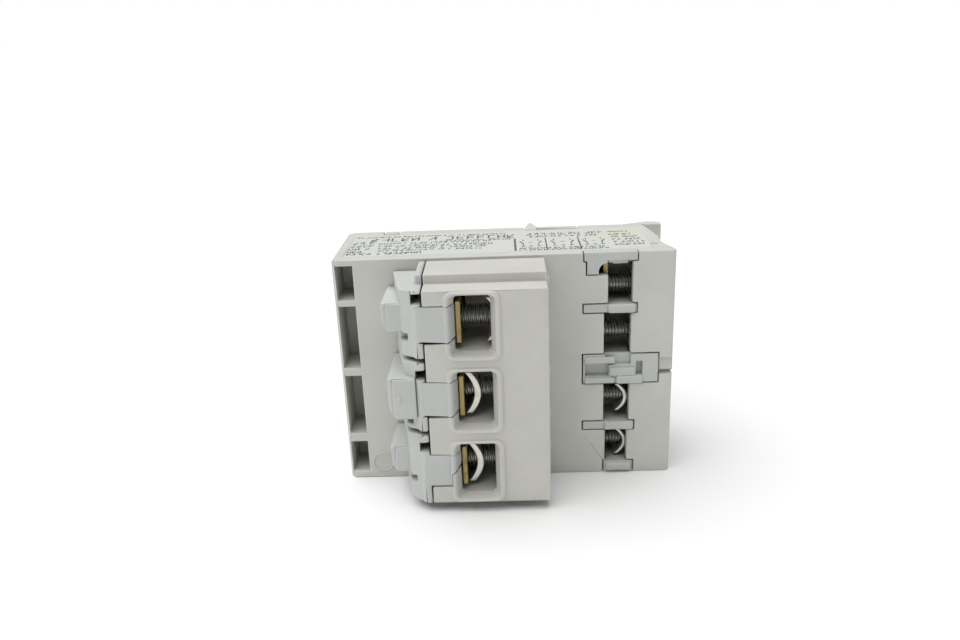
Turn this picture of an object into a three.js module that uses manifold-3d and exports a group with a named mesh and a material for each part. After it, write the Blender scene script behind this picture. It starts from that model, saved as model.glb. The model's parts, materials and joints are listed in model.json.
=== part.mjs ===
// A three-pole thermal overload relay that plugs into a rail-mounted contactor.
// Millimetres, +Z up. The relay lies on its side: the rating label faces +Z, the wiring
// side with its wire entries faces -Y, the operating face with dial and buttons faces +X,
// and the contact prongs leave the far side along +Y.
import * as THREE from 'three';
import { mergeVertices } from 'three/addons/utils/BufferGeometryUtils.js';
import Module from 'manifold-3d';

const wasm = await Module();
wasm.setup();

// ---------------------------------------------------------------- driving dimensions
// While it is drawn, x = 0 is the rear face, y = 0 the wiring face and z = 0 the lower side.
const WIDTH = 45; // module width across the poles, along Z
const LENGTH = 63.2; // rear face to operating face, along X
const DEPTH = 21.8; // wiring face to contactor face, along Y
const WALL = 1.8; // moulded wall
const FIT = 0.2; // joint line between two mouldings
const TIGHT = 0.06; // joint line that is almost closed
const GAP = 0.3; // clearance round loose inner pieces
const THREAD_PLAY = 0.08; // round a screw in its tapped plate
const WASHER_PLAY = 0.15; // round a screw in its washer
const SEAT_PLAY = 0.1; // between a screw's head and what it presses on
const THROUGH = 1; // how far a cutting tool runs past a face

const POLE_PITCH = 13.95;
const POLE_Z = [1, 0, -1].map((step) => WIDTH / 2 - 0.15 + step * POLE_PITCH);
const AUX_Z = [37.9, 28.7, 15.3, 5.8]; // centres of the four small terminals

// Raised terminal block on the wiring face
const BLOCK = {
  seam: 17.4, // joint between the carriers and the cover
  right: 39.14,
  stepOut: 9.24,
  frontOut: 13.46,
  stepLow: 0.5,
  stepHigh: 44.5,
  frontLow: 1.9,
  frontHigh: 42.8,
};

// Wire entry of one pole, measured from the pole's centre line
const ENTRY = {
  left: 23.1,
  right: 29.0,
  half: 4.95,
  depth: 1.85,
  flareX: 2.03,
  flareZ: 1.35,
  lip: 0.45,
  chamberHalf: 5.05,
  chamberLeft: 22.75,
  chamberRight: 36.6,
};

// Clamping screws: M4 on the poles, M3.5 on the small terminals
const POWER = {
  thread: 2.0,
  head: 3.4,
  headHigh: 2.3,
  axisY: -7,
  plateX: 23.1,
  plateThick: 0.9,
  plateHalf: 3.85,
  plateDepth: [-11.3, 4.4],
  tabLeft: 15,
  tabHalf: 2,
  headX: 32.3,
  tipX: 22.2,
  washerThick: 1.2,
  washerBow: 1.7,
  washerHalfZ: 4.0,
  washerHalfY: 3.0,
  lockThick: 0.8,
  driver: 2.9,
};
const AUX = {
  thread: 1.75,
  head: 2.7,
  headHigh: 2.0,
  axisY: 4.6,
  plateThick: 0.9,
  bladeFar: 8.1,
  footNear: 7.2,
  tailX: 50.2,
  tailHalf: 1.2,
  tailFar: 13.5,
  armX: 44.4,
  armThick: 0.8,
  tipNear: 10.9,
  plateHalf: 3.0,
  headX: 57.8,
  shank: 8.2,
  washerThick: 0.8,
  washerBow: 1.8,
  washerHalfZ: 2.8,
  washerHalfY: 2.7,
  driver: 3.0,
};
const SLOT = { deep: 1.1, half: 0.5 }; // driver slot of every clamping screw
const AUX_DRIVEN = [0, 0, 2.7, 2.7]; // how far each small screw is driven in from fully out
const AUX_PLATE_X = [50.05, 49.2, 49.2, 49.8]; // rear face of each small clamp plate
const AUX_TAB_TOP = 43; // the first plate has a tab that reaches up beside the insert's cut-out

// Openings of the small terminals in the wiring face; each runs from barrier to barrier
const CHANNELS = [
  { across: [50.8, 55.3], row: [34.9, 43.45] },
  { across: [50.1, 55.1], row: [24.9, 33.5] },
  { across: [50.15, 55.0], row: [10.95, 19.3] },
  { across: [50.5, 54.7], row: [2.3, 9.55] },
];
const NECK = [51.0, 54.5]; // where the insert's webs pass through those openings

// Label film and the shallow bed it lies in, on the +Z side
const LABEL = { along: [1.9, 59.2], across: [2.7, 18.5], thick: 0.2, gap: 0.05 };

// Latch in the middle of the small-terminal insert, and the notch beside it in the housing
const LATCH = { right: 60.4, notch: [21.1, 24.1], notchDeep: 0.8, slot: [20.7, 21.3], slotDeep: 1.4 };

// Blind pockets in the wiring face beside the rear edge
const POCKETS = { across: [0.6, 3.85], deep: 8, rows: [[37.2, 43.8], [23.6, 36.0], [9.8, 22.0], [1.5, 8.0]] };

// Barriers of the small-terminal insert that show in the wiring face
const BARRIERS = [
  { reach: [46.4, 56.1], row: [43.35, WIDTH] },
  { reach: [46.9, 50.6], row: [40.8, 43.35] },
  { reach: [46.3, 56.1], row: [33.4, 35.0] },
  { reach: [46.2, LATCH.right], row: [19.2, 25.0] },
  { reach: [46.2, 56.0], row: [9.45, 11.05] },
  { reach: [50.3, 55.9], row: [0, 2.4] },
];

// Rest of the insert: plate behind the clamps, webs that carry the barriers, and the latch's cuts
const INSERT = {
  across: [46.4, 57.4],
  back: [8.4, 9.4],
  webRight: 55.3,
  webs: [
    { left: 51.1, row: [42.5, 42.9] },
    { left: 46.6, row: [33.6, 34.8] },
    { left: 46.6, row: [19.8, 24.4] },
    { left: 46.6, row: [9.65, 10.85] },
    { left: 50.8, row: [2.0, 2.4] },
  ],
  neckNear: 1.0,
  necks: [[42.5, 43.6], [1.0, 2.4]],
  bar: { across: [50.4, 56.0], row: [21.6, 22.6] },
  tray: { across: [46.6, 51.1], deep: 1.2, row: [20.6, 23.2] },
  window: { across: [56.25, 57.45], deep: 1.1, row: [20.75, 23.5] },
  waist: { across: [50.4, 55.2], deep: 0.9, row: [22.9, 26] },
  curve: { x: 50.7, z: 41.3, radius: 1.7 },
};

// Rear cover: snap tongues and guide nib at the label's far edge, hooks between the poles
const SNAPS = [[7.6, 10.4], [38.6, 46.9]]; // snap tongues that show at the label's far edge
const NIB_BASE = [36.2, 38.6]; // pointed guide nib beside the long tongue
const PRONG = { left: 23.9, thick: 1.2, half: 2.5 };
const HOOKS = [POLE_Z[0] - POLE_PITCH / 2, POLE_Z[2] + POLE_PITCH / 2];

// Bimetal chambers and tripping mechanism
const BIMETAL = { pivotX: 9, tipX: 33.4, y: 10, halfY: 2, thick: 1.0 };
const SLIDE = { left: 34.8, right: 36.8, low: 3.2, high: 40, fingerX: 31.5, clear: 0.9, finger: 1.0 };
const PIVOT = { x: 41.8, z: WIDTH / 2 - 0.1 };
const SLIDER = { left: 45.2, right: 48, near: 15, far: 17 };
const COVER_NEAR = 19.8; // inner face of the rear cover
const COVER_RIGHT = 58.2;
const TONGUE_FOOT = 42; // lower end of the snap tongues
const SHROUD = { across: [20.5, 22.3], reach: 27, half: 3 }; // guard behind each prong
const SEAT = { thick: 1, near: 12.6, half: 2 }; // seats of the button springs
const PIN = { radius: 0.8, boss: 1.7 };

// Operating face: dial and buttons stand on one line along Z
const BUTTON_Y = 14.6;
const DIAL = { z: 33, knob: 4.2, flange: 4.8, cam: 2.6 };
const RESET = { z: 19.5, radius: 2.6, front: 63.9 };
const TEST = { z: 10.5, radius: 2.0, front: 62.6 };
const FLAG = { y: [15, 17], z: [25, 27], front: 60.4 };
const SEAT_X = 51.2; // spring seats on the rear cover

// Overall box, which puts the origin at its bottom centre
const EAR_X = 64.1;
const PRONG_TIP = 38;

// ---------------------------------------------------------------- solids
function toSolid(geometry) {
  const plain = geometry.clone();
  plain.deleteAttribute('normal');
  plain.deleteAttribute('uv');
  const merged = mergeVertices(plain, 1e-5);
  const vertProperties = new Float32Array(merged.attributes.position.array);
  const triVerts = new Uint32Array(merged.index.array);
  return new wasm.Manifold(new wasm.Mesh({ numProp: 3, vertProperties, triVerts }));
}

function toGeometry(solid) {
  const mesh = solid.getMesh();
  const geometry = new THREE.BufferGeometry();
  geometry.setAttribute('position', new THREE.BufferAttribute(mesh.vertProperties, 3));
  geometry.setIndex(new THREE.BufferAttribute(mesh.triVerts, 1));
  geometry.computeVertexNormals();
  return geometry;
}

const join = (first, ...rest) => rest.reduce((sum, solid) => sum.add(solid), first);
const cut = (first, ...rest) => rest.reduce((left, solid) => left.subtract(solid), first);

// A box between two corners, each axis given as [low, high]
function box([x0, x1], [y0, y1], [z0, z1]) {
  const geometry = new THREE.BoxGeometry(x1 - x0, y1 - y0, z1 - z0);
  geometry.translate((x0 + x1) / 2, (y0 + y1) / 2, (z0 + z1) / 2);
  return toSolid(geometry);
}

// A prism over an outline of [x, y] points, from z0 to z1
function prismZ(outline, [z0, z1]) {
  const shape = new THREE.Shape(outline.map(([x, y]) => new THREE.Vector2(x, y)));
  const geometry = new THREE.ExtrudeGeometry(shape, { depth: z1 - z0, bevelEnabled: false });
  geometry.translate(0, 0, z0);
  return toSolid(geometry);
}

// A prism over an outline of [x, z] points, from y0 to y1
function prismY(outline, [y0, y1]) {
  const shape = new THREE.Shape(outline.map(([x, z]) => new THREE.Vector2(x, z)));
  const geometry = new THREE.ExtrudeGeometry(shape, { depth: y1 - y0, bevelEnabled: false });
  geometry.rotateX(Math.PI / 2);
  geometry.translate(0, y1, 0);
  return toSolid(geometry);
}

// A round bar along X between x0 and x1, centred on (y, z)
function roundX(radius, [x0, x1], y, z, sides = 20) {
  const geometry = new THREE.CylinderGeometry(radius, radius, x1 - x0, sides);
  geometry.rotateZ(-Math.PI / 2);
  geometry.translate((x0 + x1) / 2, y, z);
  return toSolid(geometry);
}

// A round bar along Y between y0 and y1, centred on (x, z)
function roundY(radius, [y0, y1], x, z, sides = 16) {
  const geometry = new THREE.CylinderGeometry(radius, radius, y1 - y0, sides);
  geometry.translate(x, (y0 + y1) / 2, z);
  return toSolid(geometry);
}

// Points of a quarter circle round a corner, from one heading to the next
function corner([cx, cy], radius, startAngle, steps = 3) {
  const points = [];
  for (let step = 0; step <= steps; step += 1) {
    const angle = startAngle + (step / steps) * (Math.PI / 2);
    points.push([cx + radius * Math.cos(angle), cy + radius * Math.sin(angle)]);
  }
  return points;
}

// A rectangle with four round corners, as [horizontal, vertical] points
function roundedRectangle([left, right], [low, high], radius, steps = 3) {
  return [
    ...corner([right - radius, low + radius], radius, -Math.PI / 2, steps),
    ...corner([right - radius, high - radius], radius, 0, steps),
    ...corner([left + radius, high - radius], radius, Math.PI / 2, steps),
    ...corner([left + radius, low + radius], radius, Math.PI, steps),
  ];
}

// A solid skinned over rings of equal point count, each ring {y, points: [[x, z], ...]}
function loftY(rings) {
  const count = rings[0].points.length;
  const position = [];
  for (const ring of rings) {
    for (const [x, z] of ring.points) {
      position.push(x, ring.y, z);
    }
  }
  const index = [];
  for (let level = 0; level + 1 < rings.length; level += 1) {
    for (let step = 0; step < count; step += 1) {
      const here = level * count + step;
      const next = level * count + ((step + 1) % count);
      index.push(here, here + count, next, next, here + count, next + count);
    }
  }
  const last = (rings.length - 1) * count;
  for (let step = 1; step + 1 < count; step += 1) {
    index.push(0, step, step + 1);
    index.push(last, last + step + 1, last + step);
  }
  const geometry = new THREE.BufferGeometry();
  geometry.setAttribute('position', new THREE.Float32BufferAttribute(position, 3));
  geometry.setIndex(index);
  return toSolid(geometry);
}

// ---------------------------------------------------------------- finishes
const finish = (color, roughness, metalness = 0) => () =>
  new THREE.MeshStandardMaterial({ color, roughness, metalness });
const warmGrey = finish(0xc9c7c0, 0.55);
const coolGrey = finish(0xc6c8c5, 0.55);
const paleGrey = finish(0xdcddd7, 0.5);
const labelGrey = finish(0xe0e1db, 0.45);
const brass = finish(0x8e8457, 0.4, 1);
const darkSteel = finish(0x4a4b48, 0.35, 1);
const nickel = finish(0xc8c8c0, 0.35, 1);
const tinned = finish(0xb9b9b4, 0.4, 1);
const bimetalSteel = finish(0x8f8f8c, 0.45, 1);
const copperBrown = finish(0x9a7a5c, 0.5, 1);
const springSteel = finish(0xa8a8a8, 0.3, 1);
const blue = finish(0x2f5fa8, 0.4);
const red = finish(0xb3322a, 0.4);
const green = finish(0x3f9a58, 0.45);
const black = finish(0x202020, 0.5);

const relay = new THREE.Group();
relay.position.set(-EAR_X / 2, (BLOCK.frontOut + ENTRY.lip - PRONG_TIP) / 2, 0);

function place(name, solid, material, group = relay) {
  const mesh = new THREE.Mesh(toGeometry(solid), material());
  mesh.name = name;
  group.add(mesh);
  return mesh;
}

// ---------------------------------------------------------------- main housing
// Plan outline: the operating face runs in an S from the terminal bank to the rear ear.
function housingPlan() {
  const bankCorner = corner([LENGTH - 0.9, 0.9], 0.9, -Math.PI / 2);
  return [
    [0.9, 0],
    ...bankCorner,
    [62.7, 3],
    [61.9, 5],
    [61.55, 7],
    [61.6, 9.5],
    [61.8, 11.5],
    [60.1, 21.1],
    [60.1, DEPTH],
    [1.2, DEPTH],
    [0, DEPTH - 1.2],
    [0, 0.9],
  ];
}

// The lip that reaches past the rear right corner beside the label
function cornerEar() {
  const outline = [
    [56, DEPTH - 0.6],
    [60.4, 20.9],
    [60.4, 21.2],
    [EAR_X, 21.2],
    [EAR_X, 22.6],
    [63, 23.6],
    [61, 23.7],
    [58.6, 22.7],
    [56, DEPTH - 0.05],
  ];
  const lip = prismZ(outline, [WIDTH - WALL, WIDTH]);
  const tip = box([58.8, 70], [20, 30], [0, WIDTH]).intersect(prismZ(outline, [WIDTH - 3.4, WIDTH]));
  return join(lip, tip);
}

// Pockets that save plastic beside the rear edge
function sinkPockets() {
  return POCKETS.rows.map((row) => box(POCKETS.across, [-THROUGH, POCKETS.deep], row));
}

// Everything cut out of the wiring face for the insert of the small terminals
function channelCuts() {
  const deep = [-THROUGH, WALL];
  const slots = CHANNELS.map(({ across, row }) => box(across, deep, row));
  const cuts = BARRIERS.map(({ reach: [left, right], row: [low, high] }) => (
    box([left - FIT, right + FIT], deep, [low - FIT, high + FIT])
  ));
  const edgeNotch = box([LATCH.right, LENGTH + THROUGH], [-THROUGH, LATCH.notchDeep], LATCH.notch);
  const edgeSlot = box([LATCH.right, LENGTH + THROUGH], [-THROUGH, LATCH.slotDeep], LATCH.slot);
  return [...slots, ...cuts, edgeNotch, edgeSlot];
}

// Walls between the bimetal chambers
function poleWalls() {
  const middles = [0, 1].map((index) => (POLE_Z[index] + POLE_Z[index + 1]) / 2);
  return middles.map((z) => box([4.5, 31], [WALL - 0.5, 17], [z - 0.6, z + 0.6]));
}

function mainHousing() {
  const sideOutline = roundedRectangle([0, 66], [0, WIDTH], 0.5, 2);
  const body = prismZ(housingPlan(), [0, WIDTH]).intersect(prismY(sideOutline, [-THROUGH, 30]));
  const cavity = box([5.2, 58], [WALL, DEPTH + THROUGH], [WALL, WIDTH - WALL]);
  const coverRim = box([WALL, 58.4], [COVER_NEAR - GAP, DEPTH + THROUGH], [WALL, WIDTH - WALL]);
  const labelRecess = box(
    [LABEL.along[0] - LABEL.gap, LABEL.along[1] + LABEL.gap],
    [LABEL.across[0] - LABEL.gap, LABEL.across[1] + LABEL.gap],
    [WIDTH - LABEL.thick - LABEL.gap, WIDTH + THROUGH],
  );
  const tails = POLE_Z.map((z) => {
    const half = POWER.plateHalf + GAP;
    const right = POWER.plateX + POWER.plateThick + GAP;
    return box([POWER.plateX - GAP, right], [-THROUGH, WALL + THROUGH], [z - half, z + half]);
  });
  const driverBores = AUX_Z.map((z) => roundX(AUX.driver, [57, 65], AUX.axisY, z));
  const dialBore = roundX(DIAL.knob + FIT, [57, 65], BUTTON_Y, DIAL.z, 28);
  const resetBore = roundX(RESET.radius + FIT, [57, 65], BUTTON_Y, RESET.z);
  const testBore = roundX(TEST.radius + FIT, [57, 65], BUTTON_Y, TEST.z);
  const flagWindow = box(
    [57, 65],
    [FLAG.y[0] - GAP, FLAG.y[1] + GAP],
    [FLAG.z[0] - GAP, FLAG.z[1] + GAP],
  );
  const snapCuts = [...SNAPS, NIB_BASE].map(([x0, x1]) => box(
    [x0 - FIT, x1 + FIT],
    [COVER_NEAR - 0.6, DEPTH + THROUGH],
    [WIDTH - WALL - THROUGH, WIDTH + THROUGH],
  ));
  const hollow = cut(body, cavity, coverRim);
  const ribbed = join(hollow, ...poleWalls(), cornerEar());
  return cut(
    ribbed,
    labelRecess,
    ...tails,
    ...sinkPockets(),
    ...channelCuts(),
    ...driverBores,
    dialBore,
    resetBore,
    testBore,
    flagWindow,
    ...snapCuts,
  );
}

// ---------------------------------------------------------------- rear cover
// Two hooks that latch behind the contactor's terminal shroud
function coverHook(z) {
  const outline = [
    [9, COVER_NEAR + 1],
    [12, COVER_NEAR + 1],
    [12, 31.5],
    [10.4, 33],
    [7.4, 31.6],
    [7.4, 30.6],
    [9, 30.2],
  ];
  return prismZ(outline, [z - 1.6, z + 1.6]);
}

function rearCover() {
  const plate = box([WALL + FIT, COVER_RIGHT], [COVER_NEAR, DEPTH], [WALL + FIT, WIDTH - WALL - FIT]);
  const tongues = SNAPS.map((span) => box(span, [COVER_NEAR, DEPTH], [TONGUE_FOOT, WIDTH]));
  const nib = prismZ(
    [[NIB_BASE[0], COVER_NEAR], [NIB_BASE[1] + FIT, COVER_NEAR], [NIB_BASE[1] + FIT, DEPTH],
      [37.8, 25.7], [37.2, 25.7], [NIB_BASE[0], DEPTH]],
    [TONGUE_FOOT, WIDTH],
  );
  const seats = [RESET.z, TEST.z].map((z) => (
    box([SEAT_X, SEAT_X + SEAT.thick], [SEAT.near, COVER_NEAR + THROUGH], [z - SEAT.half, z + SEAT.half])
  ));
  const pinBoss = roundY(PIN.boss, [COVER_NEAR - 1.2, COVER_NEAR + THROUGH], PIVOT.x, PIVOT.z);
  const slots = POLE_Z.map((z) => box(
    [PRONG.left - GAP, PRONG.left + PRONG.thick + GAP],
    [COVER_NEAR - THROUGH, DEPTH + THROUGH],
    [z - PRONG.half - GAP, z + PRONG.half + GAP],
  ));
  const shrouds = POLE_Z.map((z) => (
    box(SHROUD.across, [COVER_NEAR + THROUGH, SHROUD.reach], [z - SHROUD.half, z + SHROUD.half])
  ));
  const whole = join(plate, ...tongues, nib, ...seats, pinBoss, ...HOOKS.map(coverHook), ...shrouds);
  const pinHole = roundY(PIN.radius + WASHER_PLAY, [COVER_NEAR - 2, COVER_NEAR + 0.8], PIVOT.x, PIVOT.z, 12);
  return cut(whole, ...slots, pinHole);
}

// ---------------------------------------------------------------- terminal block
// Outline of a wire entry in the plane of the front, opened by a share of the flare
function entryOutline(z, share) {
  return roundedRectangle(
    [ENTRY.left - share * ENTRY.flareX, ENTRY.right + share * ENTRY.flareX],
    [z - ENTRY.half - share * ENTRY.flareZ, z + ENTRY.half + share * ENTRY.flareZ],
    0.5 + share,
  );
}

// Flared mouth of one pole's wire entry, cut from the cover and from the carrier behind it
function entryFunnel(z) {
  const front = -BLOCK.frontOut;
  return loftY([
    { y: front - ENTRY.lip - THROUGH, points: entryOutline(z, 0.62) },
    { y: front - ENTRY.lip, points: entryOutline(z, 0.55) },
    { y: front + 0.3, points: entryOutline(z, 0.38) },
    { y: front + ENTRY.depth, points: entryOutline(z, 0.05) },
    { y: front + ENTRY.depth + THROUGH, points: entryOutline(z, 0) },
  ]);
}

// Round lip that stands proud of the front face all round the mouth
function entryLip(z) {
  const front = -BLOCK.frontOut;
  return loftY([
    { y: front - ENTRY.lip, points: entryOutline(z, 0.76) },
    { y: front - 0.65 * ENTRY.lip, points: entryOutline(z, 0.92) },
    { y: front + 0.5, points: entryOutline(z, 1) },
  ]);
}

// Face of one carrier inside the cover, as [x, z] points; the lowest pole has a stepped joint
function carrierPanel(pole, right) {
  const z = POLE_Z[pole];
  const low = z - 2.95;
  const high = z + (pole === 2 ? 3.35 : 3.6);
  const stepped = [[21.3, low], [21.3, z - 0.36], [right, z + 0.66]];
  const plain = [[20.9, low], [right, low + 0.4]];
  const bend = pole === 2 ? stepped : plain;
  return [[BLOCK.seam - 1, low], ...bend, [right, high], [BLOCK.seam - 1, high]];
}

function blockCover() {
  const left = BLOCK.seam + FIT;
  const back = -FIT;
  const step = box([left, BLOCK.right], [-BLOCK.stepOut, back], [BLOCK.stepLow, BLOCK.stepHigh]);
  const front = box([left, BLOCK.right], [-BLOCK.frontOut, back], [BLOCK.frontLow, BLOCK.frontHigh]);
  const tools = POLE_Z.flatMap((z, pole) => {
    const half = ENTRY.chamberHalf;
    const chamberFront = -BLOCK.frontOut + ENTRY.depth;
    const { chamberLeft, chamberRight } = ENTRY;
    const chamber = box([chamberLeft, chamberRight], [chamberFront, THROUGH], [z - half, z + half]);
    const driver = roundX(POWER.driver, [chamberRight - THROUGH, BLOCK.right + THROUGH], POWER.axisY, z);
    const panel = prismY(carrierPanel(pole, ENTRY.chamberLeft + 0.4), [-BLOCK.frontOut - THROUGH, THROUGH]);
    const tipRoom = box([BLOCK.seam, ENTRY.chamberLeft + 0.4], [-9.7, THROUGH], [z - 3.4, z + 3.1]);
    const joints = [panel.translate([0, 0, TIGHT]), panel.translate([0, 0, -FIT])];
    return [chamber, driver, ...joints, tipRoom, entryFunnel(z)];
  });
  return cut(join(step, front, ...POLE_Z.map(entryLip)), ...tools);
}

// ---------------------------------------------------------------- terminal carriers
// Plan of a carrier's left column: slanted flank, then a round ridge beside the cover
const COLUMN_PLAN = [
  [11.4, -FIT],
  [13.4, -10.8],
  [13.9, -11.6],
  [15.5, -12.5],
  [15.9, -13.1],
  [16.5, -13.46],
  [BLOCK.seam, -13.46],
  [BLOCK.seam, -FIT],
];
const CARRIER_ROWS = [[30.45, BLOCK.frontHigh], [16.5, 29.65], [BLOCK.frontLow, 15.7]];

// Details of a carrier: joining peg, latch hole, recess under the lug, room for the screw's tip
const CARRIER = {
  peg: { radius: 0.55, along: [15.7, 17.2], y: -12.9, up: 6.25 },
  hole: { left: 15.65, deep: -8, up: [4.05, 5.9] },
  recess: { across: [13.0, 14.7], depth: [-14, -9.5], below: 1.5 },
  tipRoom: [16.9, 26],
  playRound: 0.4,
  capLeft: 16.2,
};

// Handling lugs on the flank; the middle one is larger and reaches the front
const LUG_ROUND = 1.4; // radius of a lug's lower corner
const LUG_TRIM = { across: 0.9, deep: 0.5 }; // step at a lug's outer edge
const LUGS = [
  { x: 10.1, z: [34.8, 39.9], reach: 11.0, root: 14.0 },
  { x: 10.6, z: [19.0, 26.7], reach: 13.4, root: 15.6 },
  { x: 9.9, z: [7.0, 12.0], reach: 10.5, root: 13.6 },
];

function carrierLug({ x, z: [low, high], reach, root }) {
  const bend = corner([x + LUG_ROUND + 0.1, low + LUG_ROUND], LUG_ROUND, Math.PI, 2).slice(1);
  const outline = [[root, low], [root, high], [x, high], [x + 0.1, low + LUG_ROUND + 0.2], ...bend];
  const lug = prismY(outline.reverse(), [-reach, -FIT]);
  const trim = box(
    [x - THROUGH, x + LUG_TRIM.across],
    [-reach - THROUGH, -reach + LUG_TRIM.deep],
    [low - THROUGH, high + THROUGH],
  );
  return cut(lug, trim);
}

function terminalCarrier(pole) {
  const z = POLE_Z[pole];
  const foot = LUGS[pole].z[0];
  const { peg, hole, recess, tipRoom, playRound, capLeft } = CARRIER;
  const outline = carrierPanel(pole, ENTRY.chamberLeft + FIT);
  const column = prismZ(COLUMN_PLAN, CARRIER_ROWS[pole]);
  const panel = prismY(outline, [-BLOCK.frontOut, -FIT]);
  const lip = entryLip(z).intersect(prismY(outline, [-BLOCK.frontOut - THROUGH, -FIT]));
  const cap = box([capLeft, BLOCK.seam], [-BLOCK.stepOut, -FIT], [BLOCK.frontHigh - 0.5, BLOCK.stepHigh]);
  const joiningPeg = roundX(peg.radius, peg.along, peg.y, z + peg.up, 10);
  const latchHole = box(
    [hole.left, BLOCK.seam + FIT],
    [-BLOCK.frontOut - THROUGH, hole.deep],
    hole.up.map((up) => z + up),
  );
  const fingerRecess = box(recess.across, recess.depth, [foot - recess.below, foot - 0.1]);
  const screwRoom = roundX(POWER.thread + playRound, tipRoom, POWER.axisY, z, 16);
  const whole = join(column, panel, lip, carrierLug(LUGS[pole]), pole === 0 ? cap : joiningPeg);
  return cut(whole, latchHole, fingerRecess, screwRoom, entryFunnel(z));
}

// ---------------------------------------------------------------- small-terminal insert
function auxCarrier() {
  const { across, back, webRight, webs, neckNear, necks, bar, curve } = INSERT;
  const plate = box(across, back, [WALL + FIT, WIDTH - WALL - FIT]);
  const faces = BARRIERS.map(({ reach, row }) => box(reach, [0, WALL - FIT], row));
  const behind = webs.map(({ left, row }) => box([left, webRight], [WALL + FIT, back[1]], row));
  const through = webs.map(({ row }) => box(NECK, [neckNear, back[1]], row));
  const joining = necks.map((row) => box(NECK, [neckNear, WALL - FIT], row));
  const latchBar = box(bar.across, [0, WALL - FIT], bar.row);
  const tailSlots = AUX_Z.map((z) => box(
    [AUX.tailX - GAP, AUX.tailX + AUX.plateThick + GAP],
    [back[0] - THROUGH, back[1] + THROUGH],
    [z - AUX.tailHalf - GAP, z + AUX.tailHalf + GAP],
  ));
  const curvedCut = roundY(curve.radius, [-THROUGH, WALL], curve.x, curve.z, 20);
  const latchCuts = [INSERT.window, INSERT.tray, INSERT.waist]
    .map((place) => box(place.across, [-THROUGH, place.deep], place.row));
  const whole = join(plate, ...faces, ...behind, ...through, ...joining, latchBar);
  return cut(whole, ...tailSlots, curvedCut, ...latchCuts);
}

// ---------------------------------------------------------------- conductors and clamps
function powerPlate(z) {
  const { plateX, plateThick, plateHalf } = POWER;
  const { plateDepth, tabLeft, tabHalf } = POWER;
  const far = plateDepth[1];
  const blade = box([plateX, plateX + plateThick], plateDepth, [z - plateHalf, z + plateHalf]);
  const tab = box([tabLeft, plateX + 0.5], [far - 1, far], [z - tabHalf, z + tabHalf]);
  const bore = [plateX - THROUGH, plateX + plateThick + THROUGH];
  const thread = roundX(POWER.thread + THREAD_PLAY, bore, POWER.axisY, z, 24);
  return cut(join(blade, tab), thread);
}

function auxPlate(index) {
  const z = AUX_Z[index];
  const { plateThick, plateHalf, bladeFar, footNear, tailX, tailHalf, tailFar } = AUX;
  const plateX = AUX_PLATE_X[index];
  const right = plateX + plateThick;
  const tailRight = tailX + plateThick;
  const row = [z - tailHalf, z + tailHalf];
  const top = index === 0 ? AUX_TAB_TOP : z + plateHalf;
  const blade = box([plateX, right], [WALL + FIT, bladeFar], [z - plateHalf, top]);
  const foot = box([plateX, tailRight], [footNear, bladeFar], row);
  const tail = box([tailX, tailRight], [footNear, tailFar], row);
  const bore = [plateX - THROUGH, right + THROUGH];
  const thread = roundX(AUX.thread + THREAD_PLAY, bore, AUX.axisY, z, 24);
  const arms = index < 2 ? contactArm(tailRight, row) : [];
  return cut(join(blade, foot, tail, ...arms), thread);
}

// Arm that takes a small plate's tail round to the far side of the contact slider
function contactArm(tailRight, row) {
  const { armX, armThick, tailFar, tipNear } = AUX;
  return [
    box([armX, tailRight], [tailFar - armThick, tailFar], row),
    box([armX, armX + armThick], [tipNear, tailFar], row),
  ];
}

// A pan-head screw along X with its tip at tipX and the underside of its head at headX
function clampScrew({ thread, head, headHigh }, tipX, headX, y, z) {
  const profile = [
    [0, 0],
    [thread - 0.5, 0],
    [thread, 0.6],
    [thread, headX - tipX],
    [head, headX - tipX],
    [head, headX - tipX + headHigh * 0.65],
    [head - 0.7, headX - tipX + headHigh],
    [0, headX - tipX + headHigh],
  ].map(([radius, along]) => new THREE.Vector2(radius, along));
  const geometry = new THREE.LatheGeometry(profile, 18);
  geometry.rotateZ(-Math.PI / 2);
  geometry.translate(tipX, y, z);
  const top = headX + headHigh;
  const reach = head + THROUGH;
  const slot = box([top - SLOT.deep, top + THROUGH], [y - reach, y + reach], [z - SLOT.half, z + SLOT.half]);
  return cut(toSolid(geometry), slot);
}

// A bowed clamping washer, convex towards the screw head, with its edges at x = edgeX
function saddleWasher({ washerThick, washerBow, washerHalfZ, washerHalfY, thread }, edgeX, y, z) {
  const steps = 8;
  const bow = (share) => washerBow * (1 - share * share);
  const shares = Array.from({ length: steps + 1 }, (unused, step) => (2 * step) / steps - 1);
  const inner = shares.map((share) => [edgeX + bow(share), z + share * washerHalfZ]);
  const outer = shares.map((share) => [edgeX + washerThick + bow(share), z + share * washerHalfZ]);
  const strip = prismY([...inner.reverse(), ...outer], [y - washerHalfY, y + washerHalfY]);
  return cut(strip, roundX(thread + WASHER_PLAY, [edgeX - THROUGH, edgeX + 6], y, z, 20));
}

function lockWasher(headX, y, z) {
  const right = headX - SEAT_PLAY;
  const ring = roundX(POWER.head - SEAT_PLAY, [right - POWER.lockThick, right], y, z);
  const split = box([right - 2, right + 1], [y + 1, y + 5], [z - 0.25, z + 0.25]);
  return cut(ring, roundX(POWER.thread + WASHER_PLAY, [right - 2, right + 1], y, z), split);
}

// ---------------------------------------------------------------- thermal part of one pole
function bimetalStrip(z) {
  const { pivotX, tipX, y, halfY, thick } = BIMETAL;
  return box([pivotX - 2, tipX], [y - halfY, y + halfY], [z - thick / 2, z + thick / 2]);
}

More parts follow.
